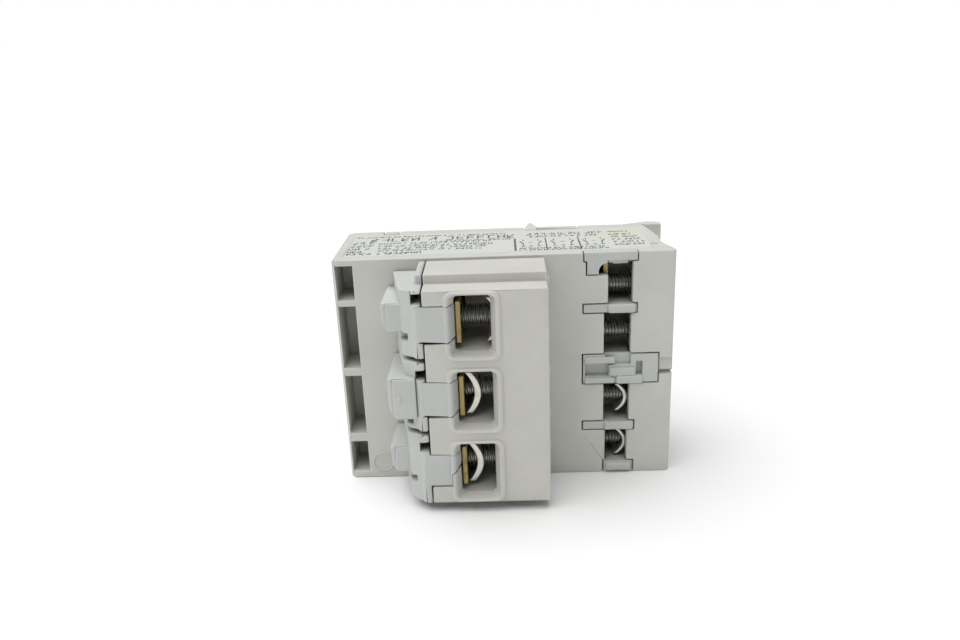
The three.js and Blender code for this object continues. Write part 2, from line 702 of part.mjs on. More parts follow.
// Insulated heater ribbon wound round the strip
function heaterWinding(z) {
  const turns = 4;
  const stepsPerTurn = 10;
  const points = [];
  for (let step = 0; step <= turns * stepsPerTurn; step += 1) {
    const angle = (step / stepsPerTurn) * 2 * Math.PI;
    const x = 14 + (step / (turns * stepsPerTurn)) * 12;
    points.push(new THREE.Vector3(x, BIMETAL.y + 3.2 * Math.cos(angle), z + 3.2 * Math.sin(angle)));
  }
  const path = new THREE.CatmullRomCurve3(points);
  const section = new THREE.Shape(roundedRectangle([-0.35, 0.35], [-0.6, 0.6], 0.1, 1)
    .map(([a, b]) => new THREE.Vector2(a, b)));
  const steps = turns * stepsPerTurn;
  return toSolid(new THREE.ExtrudeGeometry(section, { steps, extrudePath: path, bevelEnabled: false }));
}

// Flat prong that goes into the contactor's terminal
function contactProng(z) {
  const { left, thick, half } = PRONG;
  const outline = [
    [14.6, z - half],
    [PRONG_TIP - 1.5, z - half],
    [PRONG_TIP, z - half + 1],
    [PRONG_TIP, z + half - 1],
    [PRONG_TIP - 1.5, z + half],
    [14.6, z + half],
  ];
  const shape = new THREE.Shape(outline.map(([y, up]) => new THREE.Vector2(y, up)));
  const geometry = new THREE.ExtrudeGeometry(shape, { depth: thick, bevelEnabled: false });
  geometry.rotateY(Math.PI / 2);
  geometry.rotateX(Math.PI / 2);
  geometry.translate(left, 0, 0);
  const blade = toSolid(geometry);
  return join(blade, box([12, left + 0.6], [14.6, 15.6], [z - 1.5, z + 1.5]));
}

// ---------------------------------------------------------------- tripping mechanism
function tripSlide() {
  const { left, right, low, high, fingerX, clear, finger } = SLIDE;
  const bar = box([left, right], [7.5, 12.5], [low, high]);
  const fingers = POLE_Z.map((z) => box([fingerX, right - 1], [7.5, 12.5], [z + clear, z + clear + finger]));
  const nose = box([right - 1, 38.2], [8, 12.5], [PIVOT.z - 2.2, PIVOT.z - 1.2]);
  const noseTip = box([right + GAP, 38.2], [8, 16], [PIVOT.z - 2.2, PIVOT.z - 1.2]);
  return join(bar, ...fingers, nose, noseTip);
}

function differentialSlide() {
  const { right, low, high, fingerX, clear, finger } = SLIDE;
  const bar = box([34.2, right], [12.9, 16], [low, high]);
  const fingers = POLE_Z.map((z) => box([fingerX, 34.5], [8, 16], [z - clear - finger, z - clear]));
  return join(bar, ...fingers);
}

function tripLever() {
  const span = [13, 16];
  const hub = roundY(1.8, span, PIVOT.x, PIVOT.z);
  const pushed = box([37.2, PIVOT.x], span, [PIVOT.z - 0.5, PIVOT.z + 0.5]);
  const pushing = box([PIVOT.x - 0.6, PIVOT.x + 0.7], span, [PIVOT.z, PIVOT.z + 4.7]);
  return cut(join(hub, pushed, pushing), roundY(0.9, [12, 17], PIVOT.x, PIVOT.z));
}

function contactSlider() {
  const { left, right, near, far } = SLIDER;
  const bar = box([left, right], [near, far], [4, 41]);
  const lug = box([43.0, left + 0.5], [13.5, far], [25.3, 28]);
  const closedArm = box([46.4, right], [10.9, near + 0.5], [33.4, 35.4]);
  const openArm = box([left + 0.2, 47.6], [10.9, near + 0.5], [9.7, 11.7]);
  return join(bar, lug, closedArm, openArm);
}

function contactBridge(left, indexes) {
  const [high, low] = indexes.map((index) => AUX_Z[index]);
  return box([left, left + 0.6], [10.9, 12.4], [low - 1.2, high + 1.2]);
}

// ---------------------------------------------------------------- operating face
function settingDial() {
  const knob = roundX(DIAL.knob, [56.9, 61.9], BUTTON_Y, DIAL.z, 28);
  const flange = roundX(DIAL.flange, [55.8, 57.6], BUTTON_Y, DIAL.z, 28);
  const cam = roundX(DIAL.cam, [52.2, 56], BUTTON_Y + 0.8, DIAL.z, 18);
  const slot = box([60.9, 63], [BUTTON_Y - 3, BUTTON_Y + 3], [DIAL.z - 0.6, DIAL.z + 0.6]);
  return cut(join(knob, flange, cam), slot);
}

// A push button with an inner flange that stops it against the wall
function pushButton({ radius, z, front }) {
  const stem = roundX(radius, [57, front], BUTTON_Y, z);
  const flange = roundX(radius + 0.6, [56.5, 57.7], BUTTON_Y, z);
  return join(stem, flange);
}

function returnSpring(z) {
  const turns = 4;
  const stepsPerTurn = 8;
  const steps = turns * stepsPerTurn;
  const points = [];
  for (let step = 0; step <= steps; step += 1) {
    const angle = (step / stepsPerTurn) * 2 * Math.PI;
    const x = SEAT_X + 1.4 + (step / steps) * 3.5;
    points.push(new THREE.Vector3(x, BUTTON_Y + 1.5 * Math.cos(angle), z + 1.5 * Math.sin(angle)));
  }
  const path = new THREE.CatmullRomCurve3(points);
  const section = new THREE.Shape(corner([0, 0], 0.2, 0, 1)
    .concat(corner([0, 0], 0.2, Math.PI, 1))
    .map(([a, b]) => new THREE.Vector2(a, b)));
  return toSolid(new THREE.ExtrudeGeometry(section, { steps, extrudePath: path, bevelEnabled: false }));
}

// ---------------------------------------------------------------- assembly
place('main_housing', mainHousing(), warmGrey);
place('rear_cover', rearCover(), warmGrey);
place('rating_label', box(LABEL.along, LABEL.across, [WIDTH - LABEL.thick, WIDTH]), labelGrey);
place('terminal_block_cover', blockCover(), paleGrey);
place('aux_terminal_carrier', auxCarrier(), coolGrey);

POLE_Z.forEach((z, pole) => {
  const number = pole + 1;
  const { headX, tipX, axisY, plateX, plateThick, washerBow, washerThick, lockThick } = POWER;
  const clamped = plateX + plateThick + SEAT_PLAY;
  const lifted = headX - 2 * SEAT_PLAY - lockThick - washerBow - washerThick;
  place(`terminal_carrier_${number}`, terminalCarrier(pole), coolGrey);
  place(`terminal_plate_${number}`, powerPlate(z), brass);
  place(`power_screw_${number}`, clampScrew(POWER, tipX, headX, axisY, z), darkSteel);
  place(`lock_washer_${number}`, lockWasher(headX, axisY, z), springSteel);
  place(`saddle_washer_${number}`, saddleWasher(POWER, pole === 0 ? lifted : clamped, axisY, z), nickel);
  place(`contact_prong_${number}`, contactProng(z), tinned);
  place(`bimetal_strip_${number}`, bimetalStrip(z), bimetalSteel);
  place(`heater_winding_${number}`, heaterWinding(z), copperBrown);
});

AUX_Z.forEach((z, index) => {
  const number = index + 1;
  const headX = AUX.headX - AUX_DRIVEN[index];
  const edgeX = headX - SEAT_PLAY - AUX.washerBow - AUX.washerThick;
  place(`aux_plate_${number}`, auxPlate(index), brass);
  place(`aux_screw_${number}`, clampScrew(AUX, headX - AUX.shank, headX, AUX.axisY, z), darkSteel);
  place(`aux_washer_${number}`, saddleWasher(AUX, edgeX, AUX.axisY, z), nickel);
});

place('trip_slide', tripSlide(), paleGrey);
place('differential_slide', differentialSlide(), paleGrey);
place('trip_lever', tripLever(), paleGrey);
place('lever_pin', roundY(PIN.radius, [11.5, COVER_NEAR + 0.5], PIVOT.x, PIVOT.z, 12), springSteel);
place('contact_slider', contactSlider(), black);
place('nc_contact_bridge', contactBridge(45.5, [0, 1]), nickel);
place('no_contact_bridge', contactBridge(47.9, [2, 3]), nickel);
place('setting_dial', settingDial(), paleGrey);
place('reset_button', pushButton(RESET), blue);
place('reset_spring', returnSpring(RESET.z), springSteel);
place('test_button', pushButton(TEST), red);
place('test_spring', returnSpring(TEST.z), springSteel);
place('trip_flag', box([SLIDER.right + GAP, FLAG.front], FLAG.y, FLAG.z), green);

export default relay;
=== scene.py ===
"""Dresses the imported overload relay: softened mouldings, threaded clamps, print, springs and finishes.

Metres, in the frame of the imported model. Sizes inside the classes are millimetres, measured from the
rear lower corner of the main housing: x towards the operating face, y into the relay, z upwards.
"""
import json
import logging
import math
import random
from dataclasses import dataclass
from enum import Enum
from typing import Iterable, Sequence

import bmesh
import bpy
from mathutils import Matrix, Vector


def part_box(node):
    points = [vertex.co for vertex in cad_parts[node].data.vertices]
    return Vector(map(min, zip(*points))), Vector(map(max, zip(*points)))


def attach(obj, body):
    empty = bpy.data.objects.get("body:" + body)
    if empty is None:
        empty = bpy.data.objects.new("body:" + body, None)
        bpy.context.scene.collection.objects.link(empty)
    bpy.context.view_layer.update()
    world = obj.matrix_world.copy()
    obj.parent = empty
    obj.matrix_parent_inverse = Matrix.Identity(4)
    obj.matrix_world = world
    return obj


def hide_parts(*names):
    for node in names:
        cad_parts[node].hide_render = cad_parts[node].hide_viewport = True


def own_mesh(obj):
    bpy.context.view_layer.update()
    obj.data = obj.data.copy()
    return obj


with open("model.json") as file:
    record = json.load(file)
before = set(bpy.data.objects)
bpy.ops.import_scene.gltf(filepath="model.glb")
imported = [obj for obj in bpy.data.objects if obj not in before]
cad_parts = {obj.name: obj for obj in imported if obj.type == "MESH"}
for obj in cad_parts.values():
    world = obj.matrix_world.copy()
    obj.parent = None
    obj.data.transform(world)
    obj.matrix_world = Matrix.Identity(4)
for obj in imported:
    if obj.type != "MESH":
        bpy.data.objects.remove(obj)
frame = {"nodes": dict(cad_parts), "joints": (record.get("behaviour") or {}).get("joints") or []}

log = logging.getLogger("relay")

MM = 0.001
# Edges that turn less than this are shaded smooth.
SMOOTH_TURN = math.radians(46)
# Edges of a copied node that turn more than this, and are not rounded, stay crisp.
CRISP_TURN = math.radians(26)
# Triangles that turn less than this against each other make one flat face.
FLAT_TURN = math.radians(0.5)
SAME_POINT = 1e-6
ROUND_STEPS = 2
POLES = (1, 2, 3)
SMALL_TERMINALS = (1, 2, 3, 4)
ALONG_X = Vector((1, 0, 0))
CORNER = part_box("main_housing")[0]
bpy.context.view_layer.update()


class Body(Enum):
    """The moving bodies that are named outside the numbered clamps and poles."""

    RELAY = "relay_body"
    DIAL = "setting_dial"
    RESET = "reset_button"
    TEST = "test_button"
    CONTACTS = "contact_slider"


class Slot(Enum):
    """The record's material slots."""

    WARM_GREY = "warm_grey"
    PALE_GREY = "pale_grey"
    COOL_GREY = "cool_grey"
    LABEL = "label"
    BRASS = "brass"
    DARK_STEEL = "dark_steel"
    NICKEL = "nickel"
    SPRING_STEEL = "spring_steel"
    TINNED_COPPER = "tinned_copper"
    BIMETAL = "bimetal"
    HEATER = "heater"
    MECHANISM = "mechanism"
    BLACK_PLASTIC = "black_plastic"
    DIAL_GREY = "dial_grey"
    BLUE_PLASTIC = "blue_plastic"
    RED_PLASTIC = "red_plastic"
    GREEN_PLASTIC = "green_plastic"


# ---------------------------------------------------------------- places and sizes
def at(x: float, y: float, z: float) -> Vector:
    """Gives a point of the relay.

    Args:
        x: Millimetres from the rear face.
        y: Millimetres from the wiring face.
        z: Millimetres from the lower side.

    Returns:
        The point in metres, in the model's frame.
    """
    return CORNER + Vector((x, y, z)) * MM


def box_mm(node: str) -> tuple[Vector, Vector]:
    """Gives a node's box in the relay's own millimetres.

    Args:
        node: Name of the CAD node.

    Returns:
        The lowest and the highest corner.
    """
    low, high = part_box(node)
    return (low - CORNER) / MM, (high - CORNER) / MM


def axis_mm(node: str) -> tuple[float, float]:
    """Gives the y and z of the middle of a node's box, in the relay's own millimetres."""
    low, high = box_mm(node)
    return (low.y + high.y) / 2, (low.z + high.z) / 2


# ---------------------------------------------------------------- shader graph
@dataclass(frozen=True)
class Wire:
    """One shader value that can be used in Python arithmetic."""

    graph: "Graph"
    socket: bpy.types.NodeSocket

    def __add__(self, other: "Wire | float") -> "Wire":
        """Adds."""
        return self.graph.maths("ADD", self, other)

    __radd__ = __add__

    def __sub__(self, other: "Wire | float") -> "Wire":
        """Subtracts the other value."""
        return self.graph.maths("SUBTRACT", self, other)

    def __rsub__(self, other: float) -> "Wire":
        """Subtracts from a number."""
        return self.graph.maths("SUBTRACT", other, self)

    def __mul__(self, other: "Wire | float") -> "Wire":
        """Multiplies."""
        return self.graph.maths("MULTIPLY", self, other)

    __rmul__ = __mul__

    def over(self, level: float, slope: float) -> "Wire":
        """Rises from 0 to 1 as the value passes a level, with the given slope."""
        return self.graph.maths("MULTIPLY", self - level, slope, clamp=True)


class Graph:
    """The node tree of one material, built up call by call."""

    def __init__(self, name: str) -> None:
        """Starts an empty material.

        Args:
            name: Name of the material.
        """
        self.material = bpy.data.materials.new(name)
        self.material.use_nodes = True
        self.tree = self.material.node_tree
        self.tree.nodes.clear()

    def node(self, kind: str, settings: dict | None = None, inputs: dict | None = None) -> bpy.types.Node:
        """Adds a node.

        Args:
            kind: Blender's node type.
            settings: Attributes of the node, set first.
            inputs: Values or wires of its sockets, by name or number.

        Returns:
            The node.
        """
        made = self.tree.nodes.new(kind)
        for key, value in (settings or {}).items():
            setattr(made, key, value)
        for key, value in (inputs or {}).items():
            if isinstance(value, Wire):
                self.tree.links.new(value.socket, made.inputs[key])
            else:
                made.inputs[key].default_value = value
        return made

    def wire(self, kind: str, output: str | int, settings: dict | None = None,
             inputs: dict | None = None) -> Wire:
        """Adds a node and takes one of its outputs.

        Args:
            kind: Blender's node type.
            output: Name or number of the output.
            settings: Attributes of the node.
            inputs: Values or wires of its sockets.

        Returns:
            The output's wire.
        """
        return Wire(self, self.node(kind, settings, inputs).outputs[output])

    def maths(self, operation: str, first: "Wire | float", second: "Wire | float",
              clamp: bool = False) -> Wire:
        """Adds a Math node on two values.

        Args:
            operation: The node's operation.
            first: First value.
            second: Second value.
            clamp: Whether the result stays between 0 and 1.

        Returns:
            The result.
        """
        settings = {"operation": operation, "use_clamp": clamp}
        return self.wire("ShaderNodeMath", 0, settings, {0: first, 1: second})

    def colour_mix(self, share: "Wire | float", low: "Wire | tuple", high: "Wire | tuple") -> Wire:
        """Mixes two colours.

        Args:
            share: Share of the second colour.
            low: First colour.
            high: Second colour.

        Returns:
            The mixed colour.
        """
        return self.wire("ShaderNodeMix", 2, {"data_type": "RGBA"}, {0: share, 6: low, 7: high})

    def place(self, scale: Sequence[float] = (1, 1, 1), centre: Vector | None = None) -> Wire:
        """Gives object coordinates, stretched and centred.

        Args:
            scale: Stretch of the pattern on each axis.
            centre: Point that becomes the pattern's origin.

        Returns:
            The coordinates.
        """
        here = self.wire("ShaderNodeTexCoord", "Object")
        shift = Matrix.Diagonal(Vector(scale)) @ -(centre or Vector((0, 0, 0)))
        return self.wire("ShaderNodeMapping", 0, {}, {0: here, "Location": shift, "Scale": scale})

    def noise(self, place: Wire, size: float, detail: float = 2.0, rough: float = 0.5) -> Wire:
        """Gives cloudy noise between 0 and 1.

        Args:
            place: Coordinates.
            size: Size of one cloud in millimetres.
            detail: Octaves.
            rough: How strong the finer octaves are.

        Returns:
            The noise value.
        """
        inputs = {"Vector": place, "Scale": 1 / (size * MM), "Detail": detail, "Roughness": rough}
        return self.wire("ShaderNodeTexNoise", 0, {}, inputs)

    def edges(self, reach: float) -> Wire:
        """Gives a mask that is 1 along edges and 0 on flat faces.

        Args:
            reach: Reach of the mask in millimetres.

        Returns:
            The mask.
        """
        rounded = self.wire("ShaderNodeBevel", 0, {"samples": 4}, {"Radius": reach * MM})
        flat = self.wire("ShaderNodeNewGeometry", "True Normal")
        settings = {"operation": "DOT_PRODUCT"}
        same = self.wire("ShaderNodeVectorMath", "Value", settings, {0: rounded, 1: flat})
        return self.maths("MULTIPLY", 1 - same, 5.0, clamp=True)

    def hollows(self, reach: float) -> Wire:
        """Gives a mask that is 1 deep in corners and holes.

        Args:
            reach: How far around a point walls count, in millimetres.

        Returns:
            The mask.
        """
        settings = {"samples": 4, "only_local": False}
        openness = self.wire("ShaderNodeAmbientOcclusion", "AO", settings, {"Distance": reach * MM})
        return 1 - openness

    def surface(self, colour: Wire, roughness: Wire, height: Wire, depth: float, fixed: dict,
                metallic: "Wire | float" = 0.0) -> bpy.types.Material:
        """Closes the graph with a surface shader.

        Args:
            colour: Base colour.
            roughness: Roughness.
            height: Relief between 0 and 1.
            depth: Height of the relief in millimetres.
            fixed: Values of the shader's other sockets.
            metallic: Metallic share.

        Returns:
            The finished material.
        """
        relief = {"Height": height, "Distance": depth * MM, "Strength": 1.0}
        normal = self.wire("ShaderNodeBump", 0, {}, relief)
        inputs = {"Base Color": colour, "Roughness": roughness, "Metallic": metallic, "Normal": normal}
        shader = self.wire("ShaderNodeBsdfPrincipled", 0, {}, {**fixed, **inputs})
        self.node("ShaderNodeOutputMaterial", {}, {"Surface": shader})
        return self.material


Colour = tuple[float, float, float, float]


def sheet_colour(red: float, green: float, blue: float) -> Colour:
    """Turns a display colour into the linear colour that shaders use.

    Args:
        red: Display red, 0 to 255.
        green: Display green.
        blue: Display blue.

    Returns:
        The linear colour with full alpha.
    """
    def linear(value: float) -> float:
        """Takes the display curve off one channel."""
        share = value / 255
        return share / 12.92 if share <= 0.04045 else ((share + 0.055) / 1.055) ** 2.4

    return linear(red), linear(green), linear(blue), 1.0


def shade_of(colour: Colour, factor: float) -> Colour:
    """Lightens or darkens a colour by a factor."""
    return tuple(min(1.0, channel * factor) for channel in colour[:3]) + (1.0,)


# ---------------------------------------------------------------- finishes
@dataclass(frozen=True)
class Moulding:
    """Eroded-tool thermoplastic: fine grain, soft clouding, paler rubbed edges, settled dirt with painted
    shade in the corners, and painted shade deep in hollows.
    """

    name: str
    colour: Colour
    roughness: float = 0.5
    # Colour and strength of the corner tint: settled dirt that also serves as painted shade.
    dust_and_shade_colour: Colour = sheet_colour(150, 142, 122)
    dust_and_shade_share: float = 0.45
    edge_gain: float = 1.14
    relief: float = 0.012
    # Painted shade deep in hollows: reach of its mask in millimetres, the level where it starts, and its
    # strength.
    painted_shade_reach: float = 7.0
    painted_shade_level: float = 0.8
    painted_shade_share: float = 0.75

    def material(self) -> bpy.types.Material:
        """Builds the node material."""
        graph = Graph(self.name)
        place = graph.place()
        grain = graph.noise(place, 0.16, 3.0)
        clouds = graph.noise(place, 9.0, 4.0, 0.6)
        specks = graph.noise(place, 0.5, 2.0).over(0.68, 14.0)
        scratches = graph.noise(graph.place((1, 9, 9)), 2.0, 3.0, 0.7).over(0.62, 7.0)
        rubbed = graph.edges(0.32) * (0.35 + 0.65 * clouds)
        # Settled dirt with painted shade: corners closed in by nearby walls are pulled towards the darker
        # tint.
        hollow = graph.hollows(2.4)
        dust_and_shade_mask = hollow * hollow * (0.3 + 0.9 * clouds) * self.dust_and_shade_share
        dim, light = shade_of(self.colour, 0.93), shade_of(self.colour, 1.03)
        clouded = graph.colour_mix(clouds.over(0.3, 2.2), dim, light)
        grained = graph.colour_mix(grain.over(0.35, 1.6) * 0.35, clouded, shade_of(self.colour, 0.86))
        speckled = graph.colour_mix(specks * 0.3, grained, shade_of(self.colour, 0.6))
        worn = graph.colour_mix(rubbed * 0.6, speckled, shade_of(self.colour, self.edge_gain))
        dusted_and_shaded = graph.colour_mix(dust_and_shade_mask, worn, self.dust_and_shade_colour)
        # Painted shade: deep hollows are darkened almost to black, as if little light got into them.
        deep = graph.hollows(self.painted_shade_reach).over(self.painted_shade_level, 6.0) * self.painted_shade_share
        with_painted_shade = graph.colour_mix(deep, dusted_and_shaded, shade_of(self.colour, 0.1))
        roughness = self.roughness + 0.16 * grain - 0.12 * rubbed + 0.08 * scratches
        height = grain - 0.25 * scratches
        return graph.surface(with_painted_shade, roughness, height, self.relief, {"Specular IOR Level": 0.42})


@dataclass(frozen=True)
class Metal:
    """Plated or bare metal: drawn streaks, tarnish clouds and bright edges."""

    name: str
    colour: Colour
    tarnish: Colour
    roughness: float = 0.35
    tarnish_level: float = 0.5
    metallic: float = 1.0
    streak: Sequence[float] = (1, 12, 1)
    edge_gain: float = 1.5

    def material(self) -> bpy.types.Material:
        """Builds the node material."""
        graph = Graph(self.name)
        place = graph.place()
        clouds = graph.noise(place, 1.6, 4.0, 0.65)
        grit = graph.noise(place, 0.12, 2.0)
        streaks = graph.noise(graph.place(self.streak), 1.1, 3.0, 0.6)
        dull = clouds.over(self.tarnish_level, 3.5)
        bright = graph.edges(0.16) * (0.4 + 0.6 * clouds)
        drawn = graph.colour_mix(streaks * 0.5, self.colour, shade_of(self.colour, 0.72))
        stained = graph.colour_mix(dull * 0.75, drawn, self.tarnish)
        edged = graph.colour_mix(bright * 0.6, stained, shade_of(self.colour, self.edge_gain))
        roughness = self.roughness + 0.3 * dull + 0.14 * streaks - 0.1 * bright
        return graph.surface(edged, roughness, grit + streaks, 0.006, {}, self.metallic)


@dataclass(frozen=True)
class LabelFilm:
    """Satin polyester label film, slightly yellowed towards the operating face, faintly rippled."""

    name: str
    colour: Colour
    stain: Colour
    stain_centre: Vector
    stain_reach: float

    def material(self) -> bpy.types.Material:
        """Builds the node material."""
        graph = Graph(self.name)
        place = graph.place()
        away = graph.wire("ShaderNodeVectorMath", "Value", {"operation": "LENGTH"},
                          {0: graph.place((1, 1, 0), self.stain_centre)})
        clouds = graph.noise(place, 4.0, 4.0, 0.6)
        fibres = graph.noise(graph.place((1, 14, 1)), 1.6, 3.0)
        grit = graph.noise(place, 0.2, 2.0)
        near = graph.maths("SUBTRACT", 1.0, away * (1 / (self.stain_reach * MM)), clamp=True)
        stained = graph.colour_mix(near * clouds * 0.9, self.colour, self.stain)
        smudged = graph.colour_mix(clouds.over(0.5, 2.5) * 0.35, stained, shade_of(self.colour, 0.88))
        rubbed = graph.colour_mix(graph.edges(0.25) * 0.5, smudged, shade_of(self.colour, 1.1))
        roughness = 0.3 + 0.22 * clouds + 0.1 * grit
        return graph.surface(rubbed, roughness, grit + fibres, 0.006, {"Specular IOR Level": 0.5})


@dataclass(frozen=True)
class Ink:
    """Printed ink, patchy where the film was rubbed."""

    name: str
    colour: Colour
    worn: Colour

    def material(self) -> bpy.types.Material:
        """Builds the node material."""
        graph = Graph(self.name)
        place = graph.place()
        rubbed = graph.noise(place, 2.4, 4.0, 0.7).over(0.5, 3.0)
        grit = graph.noise(place, 0.14, 2.0)
        colour = graph.colour_mix(rubbed * 0.75 + grit * 0.2, self.colour, self.worn)
        return graph.surface(colour, 0.45 + 0.25 * grit, grit, 0.003, {})


@dataclass(frozen=True)
class FloorPaint:
    """Matt studio sweep."""

    name: str
    colour: Colour

    def material(self) -> bpy.types.Material:
        """Builds the node material."""
        graph = Graph(self.name)
        clouds = graph.noise(graph.place(), 60.0, 2.0)
        colour = graph.colour_mix(clouds * 0.2, self.colour, shade_of(self.colour, 0.985))
        return graph.surface(colour, 0.8 + 0.1 * clouds, clouds, 0.01, {"Specular IOR Level": 0.1})


WARM_GREY = sheet_colour(206, 206, 200)
COOL_GREY = sheet_colour(197, 200, 197)
PALE_GREY = sheet_colour(204, 203, 197)

FINISHES = {
    Slot.WARM_GREY: Moulding("warm_grey_moulding", WARM_GREY, painted_shade_share=0.2),
    Slot.COOL_GREY: Moulding("cool_grey_moulding", COOL_GREY, edge_gain=1.2),
    Slot.PALE_GREY: Moulding("pale_grey_moulding", PALE_GREY, dust_and_shade_share=0.1, edge_gain=1.35,
                             painted_shade_level=0.86),
    Slot.LABEL: LabelFilm("label_film", sheet_colour(211, 213, 208), sheet_colour(220, 216, 176),
                          stain_centre=at(55, 14, 45), stain_reach=8.0),
    Slot.BRASS: Metal("clamp_brass", sheet_colour(166, 150, 102), sheet_colour(92, 82, 58), roughness=0.4),
    Slot.DARK_STEEL: Metal("black_screw_steel", sheet_colour(150, 150, 145), sheet_colour(70, 69, 64),
                           roughness=0.32, streak=(1, 1, 1), edge_gain=2.2),
    Slot.NICKEL: Metal("nickel_plate", sheet_colour(226, 224, 214), sheet_colour(150, 144, 128),
                       roughness=0.32, tarnish_level=0.58, metallic=0.85),
    Slot.SPRING_STEEL: Metal("spring_steel", sheet_colour(178, 178, 176), sheet_colour(108, 104, 98),
                             roughness=0.3, tarnish_level=0.6),
    Slot.TINNED_COPPER: Metal("tinned_copper", sheet_colour(206, 204, 198), sheet_colour(150, 132, 112),
                              roughness=0.34, tarnish_level=0.6, streak=(12, 1, 12)),
    Slot.BIMETAL: Metal("bimetal_strip_steel", sheet_colour(160, 160, 156), sheet_colour(112, 96, 88),
                        roughness=0.42, streak=(1, 14, 14)),
    Slot.HEATER: Metal("heater_ribbon", sheet_colour(164, 120, 88), sheet_colour(78, 62, 56),
                       roughness=0.5, tarnish_level=0.45, metallic=0.7),
    Slot.MECHANISM: Moulding("mechanism_moulding", sheet_colour(214, 208, 190), roughness=0.42),
    Slot.BLACK_PLASTIC: Moulding("black_moulding", sheet_colour(44, 44, 45), roughness=0.4, edge_gain=1.9),
    Slot.DIAL_GREY: Moulding("dial_moulding", sheet_colour(222, 222, 216), roughness=0.4),
    Slot.BLUE_PLASTIC: Moulding("blue_moulding", sheet_colour(38, 84, 152), roughness=0.38, dust_and_shade_share=0.3,
                                edge_gain=1.6),
    Slot.RED_PLASTIC: Moulding("red_moulding", sheet_colour(172, 40, 34), roughness=0.38, dust_and_shade_share=0.3,
                               edge_gain=1.5),
    Slot.GREEN_PLASTIC: Moulding("green_moulding", sheet_colour(70, 146, 84), roughness=0.42,
                                 edge_gain=1.4),
}


class Paintbox:
    """Makes each finish's material once and hands it out by slot."""

    def __init__(self) -> None:
        """Starts with no material made."""
        self.made: dict[str, bpy.types.Material] = {}

    def take(self, finish: "Moulding | Metal | LabelFilm | Ink | FloorPaint") -> bpy.types.Material:
        """Gives a finish's material, made on first use."""
        if finish.name not in self.made:
            self.made[finish.name] = finish.material()
        return self.made[finish.name]

    def of(self, slot: Slot) -> bpy.types.Material:
        """Gives the material of a slot."""
        return self.take(FINISHES[slot])


PAINT = Paintbox()


# ---------------------------------------------------------------- modelling helpers
def brick(bm: bmesh.types.BMesh, low: Vector, high: Vector, rounding: float = 0.0) -> None:
    """Adds a box, with rounded edges if a rounding is given.

    Args:
        bm: Mesh that takes the box.
        low: Lowest corner in metres.
        high: Highest corner in metres.
        rounding: Edge rounding in millimetres.
    """
    centre, size = (low + high) / 2, high - low
    shape = Matrix.Translation(centre) @ Matrix.Diagonal(size.to_4d())
    verts = bmesh.ops.create_cube(bm, size=1, matrix=shape)["verts"]
    if rounding:
        edges = {edge for vert in verts for edge in vert.link_edges}
        round_edges(bm, list(edges), rounding)


def round_edges(bm: bmesh.types.BMesh, edges: list, rounding: float) -> None:
    """Rounds edges of a mesh.

    Args:
        bm: The mesh.
        edges: Edges to round.
        rounding: Width in millimetres.
    """
    bmesh.ops.bevel(bm, geom=edges, offset=rounding * MM, offset_type="OFFSET", affect="EDGES",
                    segments=ROUND_STEPS, profile=0.5, material=-1, clamp_overlap=False)


def outer_edges(bm: bmesh.types.BMesh, turn: float, shortest: float) -> list:
    """Finds the outward edges that are sharp and long enough to round.

    Args:
        bm: The mesh.
        turn: Smallest turn between the two faces, in degrees.
        shortest: Shortest edge in millimetres.

    Returns:
        The edges.
    """
    return [
        edge for edge in bm.edges
        if edge.is_manifold and edge.is_convex and edge.calc_length() > shortest * MM
        and edge.calc_face_angle(0) > math.radians(turn)
    ]


def turned(bm: bmesh.types.BMesh, outline: Sequence[tuple], centre: Vector, steps: int = 40) -> None:
    """Turns an outline round an axis along X, like a lathe.

    Args:
        bm: Mesh that takes the shape.
        outline: Points as (millimetres along X, radius).
        centre: Point of the axis where along is 0.
        steps: Steps round the axis.
    """
    verts = [bm.verts.new(centre + Vector((along, radius, 0)) * MM) for along, radius in outline]
    edges = [bm.edges.new(pair) for pair in zip(verts, verts[1:])]
    bmesh.ops.spin(bm, geom=verts + edges, cent=centre, axis=ALONG_X, dvec=(0, 0, 0),
                   angle=math.tau, steps=steps, use_merge=True)
    bmesh.ops.remove_doubles(bm, verts=bm.verts, dist=SAME_POINT)
    bmesh.ops.recalc_face_normals(bm, faces=bm.faces)


def coiled(bm: bmesh.types.BMesh, section: Sequence[tuple], centre: Vector, lead: float, turns: float,
           steps: int = 24) -> None:
    """Winds a closed section round an axis along X.

    Args:
        bm: Mesh that takes the shape.
        section: Closed outline as (millimetres along X, radius).
        centre: Point of the axis where along is 0.
        lead: Millimetres gained in one turn.
        turns: Number of turns.
        steps: Steps in one turn.
    """
    verts = [bm.verts.new(centre + Vector((along, radius, 0)) * MM) for along, radius in section]
    edges = [bm.edges.new(pair) for pair in zip(verts, verts[1:] + verts[:1])]
    count = round(turns * steps)
    made = bmesh.ops.spin(bm, geom=verts + edges, cent=centre, axis=ALONG_X,
                          dvec=ALONG_X * lead * MM / steps, angle=math.tau * turns, steps=count)
    last = [item for item in made["geom_last"] if isinstance(item, bmesh.types.BMEdge)]
    bmesh.ops.holes_fill(bm, edges=edges + last, sides=len(section))
    bmesh.ops.recalc_face_normals(bm, faces=bm.faces)


